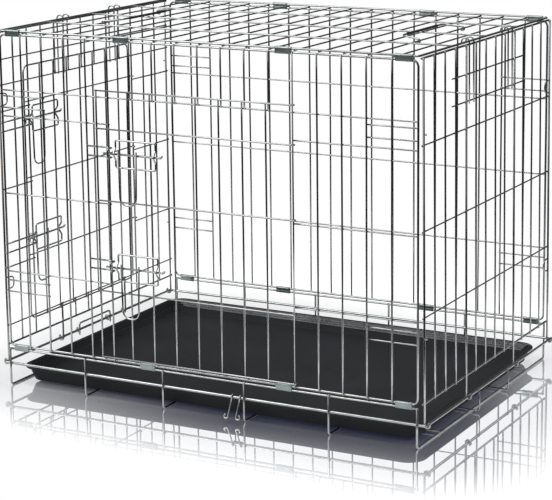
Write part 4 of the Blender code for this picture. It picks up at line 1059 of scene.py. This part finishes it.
# The far board is white to the eye, and dark where the steel mirrors it
bright = shading.times(shading.soft(away, 0.20, 0.45, 0.0, 1.0), camera_ray)
dark = shading.times(shading.soft(away, 0.25, 0.65, 0.0, 1.0), glossy_ray)
surface = shading.blend(shine, pale, mirror_and_violet_glow)
surface = shading.blend(bright, surface, shading.glow(WHITE, 1.0))
surface = shading.blend(dark, surface, shading.glow(WHITE, 0.03))
shading.add("OutputMaterial", {"Surface": surface})

# Light. The room is white to the eye and lights the crate evenly, with three soft lamps. The steel mirrors it
# as dark walls with one wide light over the left front. Wires that run along the crate mirror that light and
# look pale, and upright wires and wires that run front to back mirror the walls and look nearly black.
ROOM_LIGHT = 0.62
WIDE_LIGHT = (-0.50, -0.55, 0.67)  # the direction of its middle
LAMP_AIM = (0, 0, 0.3)
room = bpy.data.worlds.new("soft_white_room")
bpy.context.scene.world = room
shading = StudioShading(room)
toward = shading.add("TexCoord", {}).outputs["Generated"]
height = shading.add("SeparateXYZ", {"Vector": toward}).outputs["Z"]
lit = shading.add("VectorMath", {0: toward, 1: WIDE_LIGHT}, operation="DOT_PRODUCT").outputs["Value"]
wide_light = shading.soft(lit, 0.35, 0.85, 0.0, 0.95)
wide_light = shading.times(wide_light, shading.soft(height, 0.0, 0.22, 0.0, 1.0))
walls = shading.larger(wide_light, shading.soft(height, -0.05, 0.30, 0.03, 0.14))
strength = shading.share(shading.rays["Is Glossy Ray"], ROOM_LIGHT, walls)
straight = shading.larger(shading.rays["Is Camera Ray"], shading.rays["Is Transmission Ray"])
straight = shading.larger(straight, shading.rays["Is Singular Ray"])
strength = shading.share(straight, strength, 1.0)
white = shading.add("Background", {"Color": (*WHITE, 1), "Strength": strength})
shading.add("OutputWorld", {"Surface": white.outputs[0]})


def soft_lamp(name, place, width, height, power, mirrored_in_steel=True):
    """A wide lamp that is turned to the middle of the crate."""
    lamp = bpy.data.lights.new(name, "AREA")
    lamp.shape = "RECTANGLE"
    lamp.size, lamp.size_y = width, height
    lamp.energy = power
    made = bpy.data.objects.new(name, lamp)
    made.location = place
    made.rotation_euler = (Vector(LAMP_AIM) - Vector(place)).to_track_quat("-Z", "Y").to_euler()
    made.visible_camera = False
    made.visible_glossy = mirrored_in_steel
    bpy.context.collection.objects.link(made)


soft_lamp("lamp_over_left", (-1.6, -1.6, 2.4), 2.0, 1.4, 34)
soft_lamp("lamp_over_right", (2.3, -0.4, 2.0), 0.9, 1.2, 24, False)
soft_lamp("lamp_above", (0.2, 0.3, 3.0), 1.8, 0.9, 22)

# Camera. It stands in front of the crate to the right, and a little above it, where the photograph was taken
# from. The lens is long, and its shift stands for the photograph's being a part of a wider picture.
CAMERA_PLACE = (1.6074, -2.9589, 1.0303)
CAMERA_TURN = (79.439, 0.357, 26.966)  # degrees
camera_data = bpy.data.cameras.new("camera")
camera_data.sensor_width = 36
camera_data.lens = 127.477
camera_data.shift_x = -0.09783
camera_data.shift_y = -0.18116
camera_data.clip_start, camera_data.clip_end = 0.1, 100
camera = bpy.data.objects.new("camera", camera_data)
camera.location = spot(*CAMERA_PLACE)
camera.rotation_euler = [radians(turn) for turn in CAMERA_TURN]
bpy.context.collection.objects.link(camera)
bpy.context.scene.camera = camera
bpy.context.scene.view_settings.view_transform = "Standard"
